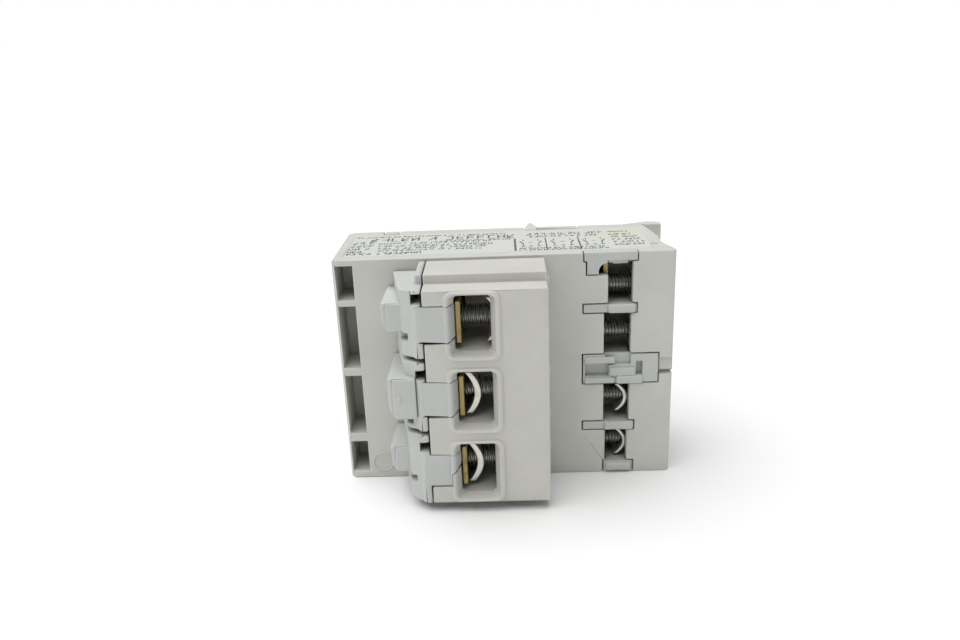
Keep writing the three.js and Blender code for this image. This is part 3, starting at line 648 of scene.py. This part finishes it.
def carved(bm: bmesh.types.BMesh, cutter: bmesh.types.BMesh) -> bmesh.types.BMesh:
    """Cuts one solid out of another.

    Args:
        bm: Solid that stays; it is used up.
        cutter: Solid that is taken away; it is used up.

    Returns:
        The carved solid.
    """
    stock, tool = new_object("stock", bm), new_object("tool", cutter)
    cut = stock.modifiers.new("cut", "BOOLEAN")
    cut.operation, cut.object, cut.solver = "DIFFERENCE", tool, "EXACT"
    bpy.context.view_layer.update()
    seen = stock.evaluated_get(bpy.context.evaluated_depsgraph_get())
    result = bmesh.new()
    result.from_mesh(seen.to_mesh())
    seen.to_mesh_clear()
    for spare in (stock, tool):
        mesh = spare.data
        bpy.data.objects.remove(spare)
        bpy.data.meshes.remove(mesh)
    bmesh.ops.remove_doubles(result, verts=result.verts, dist=SAME_POINT)
    return result


def new_mesh(name: str, bm: bmesh.types.BMesh) -> bpy.types.Mesh:
    """Puts a mesh under construction into a new mesh block and frees it."""
    mesh = bpy.data.meshes.new(name)
    bm.to_mesh(mesh)
    bm.free()
    return mesh


def new_object(name: str, bm: bmesh.types.BMesh) -> bpy.types.Object:
    """Puts a mesh under construction into a new object of the scene."""
    made = bpy.data.objects.new(name, new_mesh(name, bm))
    bpy.context.scene.collection.objects.link(made)
    return made


def copied(node: str, rounding: float, turn: float = 40.0, shortest: float = 0.7) -> bmesh.types.BMesh:
    """Copies a node's mesh, merges it and rounds its outward edges.

    Args:
        node: Name of the CAD node.
        rounding: Width of the round in millimetres.
        turn: Smallest turn of an edge that is rounded, in degrees.
        shortest: Shortest edge that is rounded, in millimetres.

    Returns:
        The new mesh.
    """
    bm = bmesh.new()
    bm.from_mesh(frame["nodes"][node].data)
    bmesh.ops.remove_doubles(bm, verts=bm.verts, dist=SAME_POINT)
    bmesh.ops.join_triangles(bm, faces=bm.faces, angle_face_threshold=FLAT_TURN,
                             angle_shape_threshold=math.pi)
    rounded = outer_edges(bm, turn, shortest)
    for edge in set(bm.edges) - set(rounded):
        edge.smooth = edge.calc_face_angle(0) < CRISP_TURN
    round_edges(bm, rounded, rounding)
    return bm


def finished(name: str, bm: bmesh.types.BMesh, body: str, slot: Slot,
             material: bpy.types.Material | None = None,
             stands_for: Iterable[str] = ()) -> bpy.types.Object:
    """Makes the final object of a piece and hangs it on its body.

    Args:
        name: Name of the piece.
        bm: Its mesh, which is used up.
        body: Name of the body that it rides on.
        slot: Material slot that it belongs to.
        material: Its material, or none for the slot's own.
        stands_for: CAD nodes that it replaces.

    Returns:
        The object.
    """
    for face in bm.faces:
        face.smooth = True
    for edge in bm.edges:
        edge.smooth = edge.smooth and edge.is_manifold and edge.calc_face_angle(0) < SMOOTH_TURN
    piece = new_object(name, bm)
    piece.data.materials.append(material or PAINT.of(slot))
    shading = piece.modifiers.new("even shading", "WEIGHTED_NORMAL")
    shading.keep_sharp = True
    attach(piece, body)
    for node in stands_for:
        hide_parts(node)
    log.info("%s: %d faces on %s", name, len(piece.data.polygons), body)
    return piece


def softened(name: str, node: str, slot: Slot, rounding: float, turn: float = 40.0,
             body: Body = Body.RELAY) -> None:
    """Replaces a node by its own copy with rounded edges.

    Args:
        name: Name of the piece.
        node: CAD node that is copied and replaced.
        slot: Its material slot.
        rounding: Width of the round in millimetres.
        turn: Smallest turn of an edge that is rounded, in degrees.
        body: The body that it rides on.
    """
    finished(name, copied(node, rounding, turn), body.value, slot, stands_for=[node])


def dressed(node: str, slot: Slot) -> None:
    """Gives a carried-over CAD node the material of its slot."""
    mesh = frame["nodes"][node].data
    mesh.materials.clear()
    mesh.materials.append(PAINT.of(slot))
    log.info("%s: kept as it is", node)


# ---------------------------------------------------------------- housing
@dataclass
class Housing:
    """The main housing and the rear cover, with the small marks moulded into them."""

    rounding: float = 0.24
    ring_place: tuple = (6.8, 3.5)
    ring_radius: float = 2.0
    ring_wire: float = 0.2
    ring_steps: int = 32
    pip_place: tuple = (59.9, 5.5)
    pip_radius: float = 0.55

    def build(self) -> None:
        """Builds the two mouldings and the raised marks."""
        softened("housing_shell", "main_housing", Slot.WARM_GREY, self.rounding)
        softened("rear_cover_shell", "rear_cover", Slot.WARM_GREY, self.rounding)
        finished("mould_marks", self.marks(), Body.RELAY.value, Slot.WARM_GREY)

    def marks(self) -> bmesh.types.BMesh:
        """Builds the plain ring on the wiring face and the small bead on top, beside the label.

        Returns:
            The mesh of the marks.
        """
        bm = bmesh.new()
        x, z = self.ring_place
        self.ring(bm, Vector((x, 0, z)), Vector((0, 1, 0)), self.ring_radius)
        top = box_mm("main_housing")[1].z
        self.ring(bm, Vector((*self.pip_place, top)), Vector((0, 0, 1)), self.pip_radius)
        return bm

    def ring(self, bm: bmesh.types.BMesh, centre: Vector, axis: Vector, radius: float) -> None:
        """Adds a low round bead.

        Args:
            bm: Mesh that takes the bead.
            centre: Its centre in the relay's millimetres.
            axis: Direction it faces.
            radius: Radius of the bead's centre line in millimetres.
        """
        wire = bmesh.ops.create_circle(bm, cap_ends=False, radius=self.ring_wire * MM, segments=8)["verts"]
        spot = at(*centre)
        turn = Matrix((ALONG_X, axis, ALONG_X.cross(axis))).transposed().to_4x4()
        bmesh.ops.transform(bm, matrix=Matrix.Translation(spot + ALONG_X * radius * MM) @ turn, verts=wire)
        edges = list({edge for vert in wire for edge in vert.link_edges})
        bmesh.ops.spin(bm, geom=wire + edges, cent=spot, axis=axis, dvec=(0, 0, 0), angle=math.tau,
                       steps=self.ring_steps, use_merge=True)
        bmesh.ops.remove_doubles(bm, verts=bm.verts, dist=SAME_POINT)
        bmesh.ops.recalc_face_normals(bm, faces=bm.faces)


# ---------------------------------------------------------------- label
@dataclass
class RatingLabel:
    """The film label and its unreadable print."""

    rounding: float = 0.08
    film: float = 0.02
    seed: int = 11
    wire_stroke: float = 0.2
    arm_stroke: float = 0.32
    mark_stroke: float = 0.5
    column_rules: tuple = ((34.0, 0.42), (39.9, 0.26), (46.2, 0.3))
    rule_ends: tuple = (2.9, 12.2)
    diagrams: tuple = ((34.4, 39.6), (40.2, 45.9), (46.5, 51.6))
    diagram_foot: float = 5.8

    def build(self) -> None:
        """Builds the label and its print."""
        softened("label_film", "rating_label", Slot.LABEL, self.rounding)
        ink = Ink("label_ink", sheet_colour(88, 90, 88), sheet_colour(176, 178, 172))
        finished("label_print", self.print_rows(), Body.RELAY.value, Slot.LABEL, PAINT.take(ink))

    def dash(self, bm: bmesh.types.BMesh, start: tuple, end: tuple, width: float) -> None:
        """Adds one straight stroke.

        Args:
            bm: Mesh that takes the stroke.
            start: First end as (along, across) in the relay's millimetres.
            end: Other end.
            width: Width of the stroke.
        """
        top = box_mm("rating_label")[1].z
        first, second = Vector(start), Vector(end)
        middle, run = (first + second) / 2, second - first
        spot = at(middle.x, middle.y, top + self.film / 2)
        size = Vector((run.length, width, self.film)) * MM
        turn = Matrix.Rotation(math.atan2(run.y, run.x), 4, "Z")
        shape = Matrix.Translation(spot) @ turn @ Matrix.Diagonal(size.to_4d())
        bmesh.ops.create_cube(bm, size=1, matrix=shape)

    def sign(self, bm: bmesh.types.BMesh, chance: random.Random, corner: tuple, height: float,
             weight: float) -> None:
        """Adds one meaningless sign made of two or three strokes.

        Args:
            bm: Mesh that takes the strokes.
            chance: Seeded source of numbers.
            corner: Lower left corner in the relay's millimetres.
            height: Height of the sign.
            weight: Width of a stroke.
        """
        along, foot = corner
        right, middle, top = along + 0.52 * height, foot + height / 2, foot + height
        strokes = [
            ((along, foot), (along, top)),
            ((right, foot), (right, top)),
            ((along, top), (right, top)),
            ((along, foot), (right, foot)),
            ((along, middle), (right, middle)),
            ((along, foot), (right, top)),
        ]
        for start, end in chance.sample(strokes, chance.choice((2, 3, 3))):
            self.dash(bm, start, end, weight)

    def text_row(self, bm: bmesh.types.BMesh, chance: random.Random, row: tuple, height: float,
                 weight: float) -> None:
        """Fills a row with signs that read as small print from afar but say nothing.

        Args:
            bm: Mesh that takes the strokes.
            chance: Seeded source of numbers.
            row: Left end, right end and foot of the row in millimetres.
            height: Height of the signs.
            weight: Width of a stroke.
        """
        along, right, foot = row
        while along < right:
            self.sign(bm, chance, (along, foot), height, weight)
            along += height * chance.choice((0.78, 0.84, 0.9))
            if chance.random() < 0.14:
                along += height * 0.5

    def switch_diagram(self, bm: bmesh.types.BMesh, left: float, right: float, foot: float) -> None:
        """Draws one pair of open contacts with their terminal marks.

        Args:
            bm: Mesh that takes the strokes.
            left: Left end in the relay's millimetres.
            right: Right end.
            foot: Lower end.
        """
        for share, lean in ((0.22, -1), (0.78, 1)):
            along = left + share * (right - left)
            self.dash(bm, (along, foot + 1.0), (along, foot + 2.3), self.wire_stroke)
            self.dash(bm, (along, foot + 2.3), (along + lean * 0.6, foot + 4.0), self.arm_stroke)
            self.dash(bm, (along, foot + 4.2), (along, foot + 5.4), self.wire_stroke)
        for share in (0.22, 0.5, 0.78):
            along = left + share * (right - left)
            self.dash(bm, (along - 0.35, foot + 0.4), (along + 0.35, foot + 0.4), self.mark_stroke)
        inset, link = 0.42 * (right - left), foot + 3.1
        self.dash(bm, (left + inset, link), (right - inset, link), self.wire_stroke)

    def print_rows(self) -> bmesh.types.BMesh:
        """Lays out the whole print: rows of small type, rules, and contact diagrams.

        Returns:
            The mesh of the strokes.
        """
        bm = bmesh.new()
        chance = random.Random(self.seed)
        # Left end, right end and foot of each row, then the height and stroke of its signs.
        for left, right, foot, height, weight in (
            (5.6, 33.0, 13.3, 2.4, 0.34),
            (2.6, 32.0, 16.4, 0.8, 0.16),
            (2.4, 6.2, 11.4, 1.6, 0.24),
            (2.3, 6.0, 9.2, 1.4, 0.22),
            (2.2, 5.4, 7.0, 1.4, 0.22),
            (2.2, 4.8, 5.0, 1.2, 0.22),
            (7.6, 29.5, 10.9, 1.1, 0.16),
            (20.0, 33.0, 11.9, 0.8, 0.14),
            (7.8, 29.0, 8.9, 1.1, 0.18),
            (7.9, 28.4, 7.2, 1.1, 0.2),
            (8.0, 28.2, 5.6, 1.0, 0.18),
            (2.4, 6.4, 3.4, 1.1, 0.22),
            (8.0, 16.4, 3.4, 1.3, 0.26),
            (36.4, 52.0, 14.6, 1.6, 0.22),
            (37.0, 50.5, 12.9, 1.1, 0.18),
            (52.4, 56.2, 15.2, 0.8, 0.18),
            (52.4, 57.0, 13.0, 0.9, 0.18),
            (52.6, 57.2, 11.0, 1.0, 0.2),
            (52.7, 58.2, 9.0, 1.0, 0.2),
            (52.8, 58.4, 7.0, 1.0, 0.2),
            (52.8, 58.4, 5.0, 1.0, 0.2),
            (34.8, 50.6, 4.1, 0.9, 0.18),
            (34.8, 51.4, 2.95, 0.8, 0.18),
        ):
            self.text_row(bm, chance, (left, right, foot), height, weight)
        foot, head = self.rule_ends
        for along, weight in self.column_rules:
            self.dash(bm, (along, foot), (along, head), weight)
        for left, right in self.diagrams:
            self.switch_diagram(bm, left, right, self.diagram_foot)
        return bm


# ---------------------------------------------------------------- terminal block
@dataclass
class TerminalBlock:
    """The cover, the three carriers behind it and their conductors."""

    cover_rounding: float = 0.3
    cover_turn: float = 60.0
    carrier_rounding: float = 0.3
    plate_rounding: float = 0.14
    catch_proud: float = 0.4
    catch_sunk: float = 0.3
    catch_y: tuple = (-9.0, -7.4)
    catch_rows: tuple = (42.6, 32.7, 25.8, 17.3, 11.1)
    catch_half: float = 0.8
    catch_rounding: float = 0.2
    pip_place: tuple = (12.7, -13.3, 22.9)
    pip_radius: float = 0.4

    def build(self) -> None:
        """Builds cover, carriers and conductors."""
        softened("block_cover_shell", "terminal_block_cover", Slot.PALE_GREY, self.cover_rounding,
                 self.cover_turn)
        for pole in POLES:
            softened(f"carrier_shell_{pole}", f"terminal_carrier_{pole}", Slot.COOL_GREY,
                     self.carrier_rounding)
            softened(f"clamp_plate_{pole}", f"terminal_plate_{pole}", Slot.BRASS, self.plate_rounding)
            softened(f"prong_blade_{pole}", f"contact_prong_{pole}", Slot.TINNED_COPPER,
                     self.plate_rounding)
        finished("block_catches", self.catches(), Body.RELAY.value, Slot.PALE_GREY)
        finished("lug_pip", self.pip(), Body.RELAY.value, Slot.COOL_GREY)

    def pip(self) -> bmesh.types.BMesh:
        """Builds the small round pip on the middle handling lug."""
        bm = bmesh.new()
        spot = Matrix.Translation(at(*self.pip_place))
        radius = self.pip_radius * MM
        bmesh.ops.create_uvsphere(bm, u_segments=20, v_segments=12, radius=radius, matrix=spot)
        return bm

    def catches(self) -> bmesh.types.BMesh:
        """Builds the small catches along the block's right edge.

        Returns:
            The mesh of the catches.
        """
        bm = bmesh.new()
        right = box_mm("terminal_block_cover")[1].x
        near, far = self.catch_y
        for z in self.catch_rows:
            low = at(right - self.catch_sunk, near, z - self.catch_half)
            high = at(right + self.catch_proud, far, z + self.catch_half)
            brick(bm, low, high, self.catch_rounding)
        return bm


# ---------------------------------------------------------------- screws and washers
class ClampKind(Enum):
    """The two sizes of clamp."""

    POWER = "power"
    SMALL = "aux"


@dataclass
class Clamp:
    """One clamping screw with its washers."""

    kind: ClampKind
    number: int
    lead: float
    tooth: float
    head_long: float
    major: float
    hole_radius: float
    slot_wide: float = 1.0
    slot_deep: float = 1.1
    washer_bow: float = 1.7
    washer_rounding: float = 0.13
    ring_wire_share: float = 0.72
    ring_turns: float = 0.97

    def build(self) -> None:
        """Builds the screw and its washers."""
        screw = f"{self.kind.value}_screw_{self.number}"
        finished(f"{self.kind.value}_clamp_screw_{self.number}", self.screw(screw), screw, Slot.DARK_STEEL,
                 stands_for=[screw])
        if self.kind is ClampKind.POWER:
            saddle = f"saddle_washer_{self.number}"
            carrier = f"power_clamp_{self.number}"
            ring = f"lock_washer_{self.number}"
            finished(f"spring_ring_{self.number}", self.split_ring(ring), carrier, Slot.SPRING_STEEL,
                     stands_for=[ring])
            body = carrier if self.number == 1 else saddle
        else:
            saddle = f"aux_washer_{self.number}"
            body = f"aux_clamp_{self.number}"
        finished(f"{self.kind.value}_clamp_washer_{self.number}", self.saddle(saddle), body, Slot.NICKEL,
                 stands_for=[saddle])

    def screw(self, node: str) -> bmesh.types.BMesh:
        """Builds a pan-head screw with a real thread and a crossed slot.

        Args:
            node: CAD node of the screw.

        Returns:
            The mesh.
        """
        low, high = box_mm(node)
        axis_y, axis_z = axis_mm(node)
        head = (high.y - low.y) / 2
        shank = high.x - low.x - self.head_long
        major, root = self.major, 0.06
        core = major - self.tooth
        end = high.x - low.x
        body = bmesh.new()
        start = at(low.x, axis_y, axis_z)
        turned(body, [
            (0, 0), (0, core - 0.4), (0.5, core), (shank - 0.25, core), (shank - 0.05, major - 0.1),
            (shank, head - 0.25), (shank + 0.15, head), (shank + self.head_long * 0.6, head),
            (shank + self.head_long * 0.85, head - 0.3), (end, head - 0.95), (end, 0),
        ], start, 44)
        cutter = bmesh.new()
        top = high.x
        brick(cutter, at(top - self.slot_deep, axis_y - 5, axis_z - self.slot_wide / 2),
              at(top + 1, axis_y + 5, axis_z + self.slot_wide / 2))
        cross = bmesh.new()
        reach = head * 0.55
        brick(cross, at(top - self.slot_deep * 0.9, axis_y - self.slot_wide / 2, axis_z - reach),
              at(top + 1, axis_y + self.slot_wide / 2, axis_z + reach))
        carved_body = carved(carved(body, cutter), cross)
        turns = (shank - 0.7) / self.lead
        section = [(0.1, core - root), (0.1 + self.lead * 0.36, major), (0.1 + self.lead * 0.5, major),
                   (0.1 + self.lead * 0.86, core - root)]
        thread = bmesh.new()
        coiled(thread, section, start, self.lead, turns - 1, 28)
        scratch = new_mesh("spare", thread)
        carved_body.from_mesh(scratch)
        bpy.data.meshes.remove(scratch)
        return carved_body

    def split_ring(self, node: str) -> bmesh.types.BMesh:
        """Builds the split spring washer under the head.

        Args:
            node: CAD node of the washer.

        Returns:
            The mesh.
        """
        low, high = box_mm(node)
        bm = bmesh.new()
        inner, outer, room = self.hole_radius, (high.y - low.y) / 2, high.x - low.x
        thick = room * self.ring_wire_share
        section = [(0, inner), (0, outer), (thick, outer), (thick, inner)]
        lead = room * (1 - self.ring_wire_share)
        coiled(bm, section, at(low.x, *axis_mm(node)), lead, self.ring_turns, 40)
        return bm

    def saddle(self, node: str) -> bmesh.types.BMesh:
        """Builds the bowed square washer.

        Args:
            node: CAD node of the washer.

        Returns:
            The mesh.
        """
        low, high = box_mm(node)
        half_y, half_z = (high.y - low.y) / 2, (high.z - low.z) / 2
        thick = high.x - low.x - self.washer_bow
        middle = (low + high) / 2
        bm = bmesh.new()
        bmesh.ops.create_grid(bm, x_segments=24, y_segments=2, size=1)
        for vert in bm.verts:
            share, side = vert.co.x, vert.co.y
            bow = self.washer_bow * (1 - share * share)
            vert.co = at(low.x + bow, middle.y + side * half_y, middle.z + share * half_z)
        bmesh.ops.recalc_face_normals(bm, faces=bm.faces)
        rise = bmesh.ops.extrude_face_region(bm, geom=bm.faces)["geom"]
        lifted = [item for item in rise if isinstance(item, bmesh.types.BMVert)]
        bmesh.ops.translate(bm, vec=ALONG_X * thick * MM, verts=lifted)
        bmesh.ops.recalc_face_normals(bm, faces=bm.faces)
        hole = bmesh.new()
        radius = self.hole_radius
        turned(hole, [(-3, 0), (-3, radius), (6, radius), (6, 0)], at(low.x, middle.y, middle.z), 32)
        bm = carved(bm, hole)
        round_edges(bm, outer_edges(bm, 50, 0.05), self.washer_rounding)
        return bm


# ---------------------------------------------------------------- small-terminal insert
@dataclass
class SmallTerminals:
    """The insert that carries the four small terminals, its latch ridges and its brass plates."""

    rounding: float = 0.16
    plate_rounding: float = 0.12
    rail_x: tuple = (46.4, 52.2)
    rails: tuple = ((23.3, 24.6), (19.2, 20.4))
    tongue: tuple = ((51.3, -0.4, 20.7), (56.1, 0.2, 22.4))
    barriers: tuple = ((50.7, 55.9, 34.2), (50.2, 55.9, 10.25), (52.4, 57.6, 19.9), (50.6, 55.6, 1.3))
    barrier_half: float = 0.9

    def build(self) -> None:
        """Builds the insert, its latch ridges and its plates."""
        softened("insert_shell", "aux_terminal_carrier", Slot.COOL_GREY, self.rounding)
        for number in SMALL_TERMINALS:
            softened(f"small_plate_{number}", f"aux_plate_{number}", Slot.BRASS, self.plate_rounding)
        finished("latch_ridges", self.ridges(), Body.RELAY.value, Slot.COOL_GREY)

    def ridges(self) -> bmesh.types.BMesh:
        """Builds the raised ridges of the latch and of the barriers.

        Returns:
            The mesh.
        """
        bm = bmesh.new()
        start, end = self.rail_x
        for low_z, high_z in self.rails:
            brick(bm, at(start, -0.45, low_z), at(end, 0.2, high_z), 0.3)
        low, high = self.tongue
        brick(bm, at(*low), at(*high), 0.25)
        half = self.barrier_half
        for left, right, z in self.barriers:
            brick(bm, at(left, -0.55, z - half), at(right, 0.4, z + half), 0.5)
        return bm


# ---------------------------------------------------------------- operating face
@dataclass
class OperatingFace:
    """Setting dial with its scale, the two buttons with their springs, and the trip flag."""

    tick_inner: float = 5.1
    tick_outer: float = 6.0
    first_tick: float = -120.0
    last_tick: float = 120.0
    ticks: int = 11
    tick_size: tuple = (0.16, 0.28)
    long_tick: float = 0.5
    face_near: tuple = (61.8, 11.5)
    face_far: tuple = (60.1, 21.1)
    inner_wall: float = 52.2
    stem_radius: float = 1.6
    flange_x: tuple = (55.8, 57.6)
    button_shoulder: float = 57.7
    flange_step: float = 0.6
    flag_rounding: float = 0.15
    spring_wire: float = 0.2
    spring_radius: float = 1.5
    spring_turns: float = 4.5

    def build(self) -> None:
        """Builds dial, scale, buttons, springs and flag."""
        finished("dial_knob", self.dial(), Body.DIAL.value, Slot.DIAL_GREY, stands_for=["setting_dial"])
        ink = Ink("scale_ink", sheet_colour(52, 54, 54), sheet_colour(120, 122, 118))
        finished("dial_scale", self.scale(), Body.RELAY.value, Slot.WARM_GREY, PAINT.take(ink))
        for body, slot in ((Body.RESET, Slot.BLUE_PLASTIC), (Body.TEST, Slot.RED_PLASTIC)):
            name = body.value.split("_")[0]
            finished(f"{name}_cap", self.button(body.value), body.value, slot, stands_for=[body.value])
            self.spring(name)
        softened("flag_blade", "trip_flag", Slot.GREEN_PLASTIC, self.flag_rounding, body=Body.CONTACTS)

    def face_x(self, y: float) -> float:
        """Gives the face's x at a given y, in the relay's millimetres."""
        (x0, y0), (x1, y1) = self.face_near, self.face_far
        return x0 + (x1 - x0) * (y - y0) / (y1 - y0)

    def dial(self) -> bmesh.types.BMesh:
        """Builds the dial with a rounded rim, a driver slot and a pointer notch.

        Returns:
            The mesh.
        """
        low, high = box_mm("setting_dial")
        y, z = axis_mm("setting_dial")
        flange = (high.y - low.y) / 2
        knob = flange - self.flange_step
        back, stem, front = self.inner_wall, self.stem_radius, high.x
        flange_back, flange_front = self.flange_x
        outline = [
            (back, 0), (back, stem), (flange_back, stem), (flange_back, flange), (flange_front, flange),
            (flange_front, knob), (front - 0.45, knob), (front - 0.12, knob - 0.14), (front, knob - 0.5),
            (front, knob - 1.0), (front - 0.35, knob - 1.2), (front - 0.35, 2.0), (front - 0.05, 1.8),
            (front - 0.05, 0),
        ]
        bm = bmesh.new()
        turned(bm, outline, at(0, y, z), 56)
        slot = bmesh.new()
        brick(slot, at(front - 1.1, y - 3.0, z - 0.55), at(front + 1, y + 3.0, z + 0.55))
        bm = carved(bm, slot)
        pointer = bmesh.new()
        brick(pointer, at(front - 0.5, y + knob - 1.3, z - 0.25), at(front + 1, y + knob + 1, z + 0.25))
        bm = carved(bm, pointer)
        return bm

    def scale(self) -> bmesh.types.BMesh:
        """Builds the raised ticks round the dial.

        Returns:
            The mesh.
        """
        y, z = axis_mm("setting_dial")
        thick, wide = self.tick_size
        slant = math.atan2(self.face_far[0] - self.face_near[0], self.face_far[1] - self.face_near[1])
        bm = bmesh.new()
        for step in range(self.ticks):
            share = step / (self.ticks - 1)
            angle = math.radians(self.first_tick + share * (self.last_tick - self.first_tick))
            long = self.tick_outer + (self.long_tick if step % 5 == 0 else 0)
            middle = (self.tick_inner + long) / 2
            along_y, along_z = math.cos(angle), math.sin(angle)
            tick_y = y + middle * along_y
            spot = at(self.face_x(tick_y), tick_y, z + middle * along_z)
            size = Vector((thick, long - self.tick_inner, wide)) * MM
            turn = Matrix.Rotation(-slant, 4, "Z") @ Matrix.Rotation(angle, 4, "X")
            shape = Matrix.Translation(spot) @ turn @ Matrix.Diagonal(size.to_4d())
            bmesh.ops.create_cube(bm, size=1, matrix=shape)
        return bm

    def button(self, node: str) -> bmesh.types.BMesh:
        """Builds a push button with a domed cap and a stop flange.

        Args:
            node: CAD node of the button.

        Returns:
            The mesh.
        """
        low, high = box_mm(node)
        back, front, shoulder = low.x, high.x, self.button_shoulder
        flange = (high.y - low.y) / 2
        radius = flange - self.flange_step
        outline = [
            (back, 0), (back, flange), (shoulder, flange), (shoulder, radius), (front - 0.6, radius),
            (front - 0.22, radius - 0.16), (front, radius - 0.6), (front, radius - 1.0), (front - 0.15, 0),
        ]
        bm = bmesh.new()
        turned(bm, outline, at(0, *axis_mm(node)), 44)
        return bm

    def spring(self, name: str) -> None:
        """Builds a button's return spring.

        Args:
            name: The button's name without its ending.
        """
        node = f"{name}_spring"
        low, high = box_mm(node)
        y, z = axis_mm(node)
        reach = high.x - low.x - 2 * self.spring_wire
        around = [
            (math.cos(turn) * self.spring_wire, self.spring_radius + math.sin(turn) * self.spring_wire)
            for turn in (step * math.tau / 10 for step in range(10))
        ]
        bm = bmesh.new()
        start = at(low.x + self.spring_wire, y, z)
        coiled(bm, around, start, reach / self.spring_turns, self.spring_turns, 24)
        piece = finished(f"{name}_coil", bm, Body.RELAY.value, Slot.SPRING_STEEL, stands_for=[node])
        flange = box_mm(f"{name}_button")[0].x
        seat = self.inner_wall
        travel = next(j for j in frame["joints"] if j["name"] == f"{name}_button_press")["range_m"][1] / MM
        (flange - travel - seat) / (flange - seat)
        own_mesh(piece)


# ---------------------------------------------------------------- inner mechanism
@dataclass
class Mechanism:
    """The parts that are closed in: strips, windings, slides, lever and contacts."""

    def dress(self) -> None:
        """Gives every inner part its finish."""
        for pole in POLES:
            dressed(f"bimetal_strip_{pole}", Slot.BIMETAL)
            dressed(f"heater_winding_{pole}", Slot.HEATER)
        for node in ("trip_slide", "differential_slide", "trip_lever"):
            dressed(node, Slot.MECHANISM)
        dressed("lever_pin", Slot.SPRING_STEEL)
        dressed("contact_slider", Slot.BLACK_PLASTIC)
        for node in ("nc_contact_bridge", "no_contact_bridge"):
            dressed(node, Slot.NICKEL)


# ---------------------------------------------------------------- studio
@dataclass
class Studio:
    """Sweep, lights and camera."""

    eye: tuple = (31.68, -149.41, 85.06)
    pitch: float = 19.31
    yaw: float = 1.80
    roll: float = 2.26
    lens: float = 31.8
    floor_reach: float = 12.0
    sky: float = 0.26
    key_power: float = 3.0
    key_spread: float = 80.0
    key_side: tuple = (-0.3, -0.05, 1.0)

    def build(self) -> None:
        """Builds the sweep, the lights and the camera."""
        self.sweep()
        self.world()
        self.softbox("key", self.key_side)
        self.camera()

    def sweep(self) -> None:
        """Builds the wide pale floor."""
        bm = bmesh.new()
        bmesh.ops.create_grid(bm, x_segments=4, y_segments=4, size=self.floor_reach)
        floor = new_object("studio_sweep", bm)
        floor.data.materials.append(PAINT.take(FloorPaint("sweep_paint", sheet_colour(247, 247, 247))))

    def world(self) -> None:
        """Sets an even white sky."""
        world = bpy.data.worlds.new("studio")
        bpy.context.scene.world = world
        world.use_nodes = True
        nodes, links = world.node_tree.nodes, world.node_tree.links
        background = nodes["Background"]
        background.inputs["Color"].default_value = (1.0, 1.0, 1.0, 1.0)
        seen = nodes.new("ShaderNodeLightPath").outputs["Is Camera Ray"]
        brightness = nodes.new("ShaderNodeMapRange")
        links.new(seen, brightness.inputs["Value"])
        brightness.inputs["To Min"].default_value = self.sky
        brightness.inputs["To Max"].default_value = 1.0
        links.new(brightness.outputs[0], background.inputs["Strength"])
        bpy.context.scene.view_settings.view_transform = "Standard"

    def softbox(self, name: str, side: tuple) -> None:
        """Adds a broad, distant soft light.

        Args:
            name: Name of the light.
            side: Direction that the light comes from.
        """
        data = bpy.data.lights.new(name, "SUN")
        data.angle, data.energy = math.radians(self.key_spread), self.key_power
        lamp = bpy.data.objects.new(name, data)
        bpy.context.scene.collection.objects.link(lamp)
        lamp.matrix_world = (-Vector(side)).to_track_quat("-Z", "Y").to_matrix().to_4x4()

    def camera(self) -> None:
        """Sets the camera."""
        data = bpy.data.cameras.new("camera")
        data.lens, data.sensor_width = self.lens, 36.0
        data.clip_start, data.clip_end = 0.01, 50.0
        camera = bpy.data.objects.new("camera", data)
        bpy.context.scene.collection.objects.link(camera)
        level = Matrix.Rotation(math.radians(90), 4, "X")
        heading = Matrix.Rotation(math.radians(self.yaw), 4, "Z")
        down = Matrix.Rotation(math.radians(-self.pitch), 4, "X")
        tilt = Matrix.Rotation(math.radians(self.roll), 4, "Y")
        camera.matrix_world = Matrix.Translation(at(*self.eye)) @ heading @ down @ tilt @ level
        bpy.context.scene.camera = camera


def clamps() -> list[Clamp]:
    """Lists the seven clamps.

    Returns:
        Three power clamps and four small ones.
    """
    power = [
        Clamp(ClampKind.POWER, number, lead=0.7, tooth=0.38, head_long=2.3, major=2.0, hole_radius=2.15)
        for number in POLES
    ]
    small = [
        Clamp(ClampKind.SMALL, number, lead=0.6, tooth=0.33, head_long=2.0, major=1.75, hole_radius=1.9,
              slot_wide=0.9, washer_bow=1.8)
        for number in SMALL_TERMINALS
    ]
    return power + small


def main() -> None:
    """Builds the scene in order."""
    logging.basicConfig(level=logging.INFO, format="%(message)s")
    Studio().build()
    Housing().build()
    RatingLabel().build()
    TerminalBlock().build()
    SmallTerminals().build()
    for clamp in clamps():
        clamp.build()
    OperatingFace().build()
    Mechanism().dress()


if __name__ == "__main__":
    main()
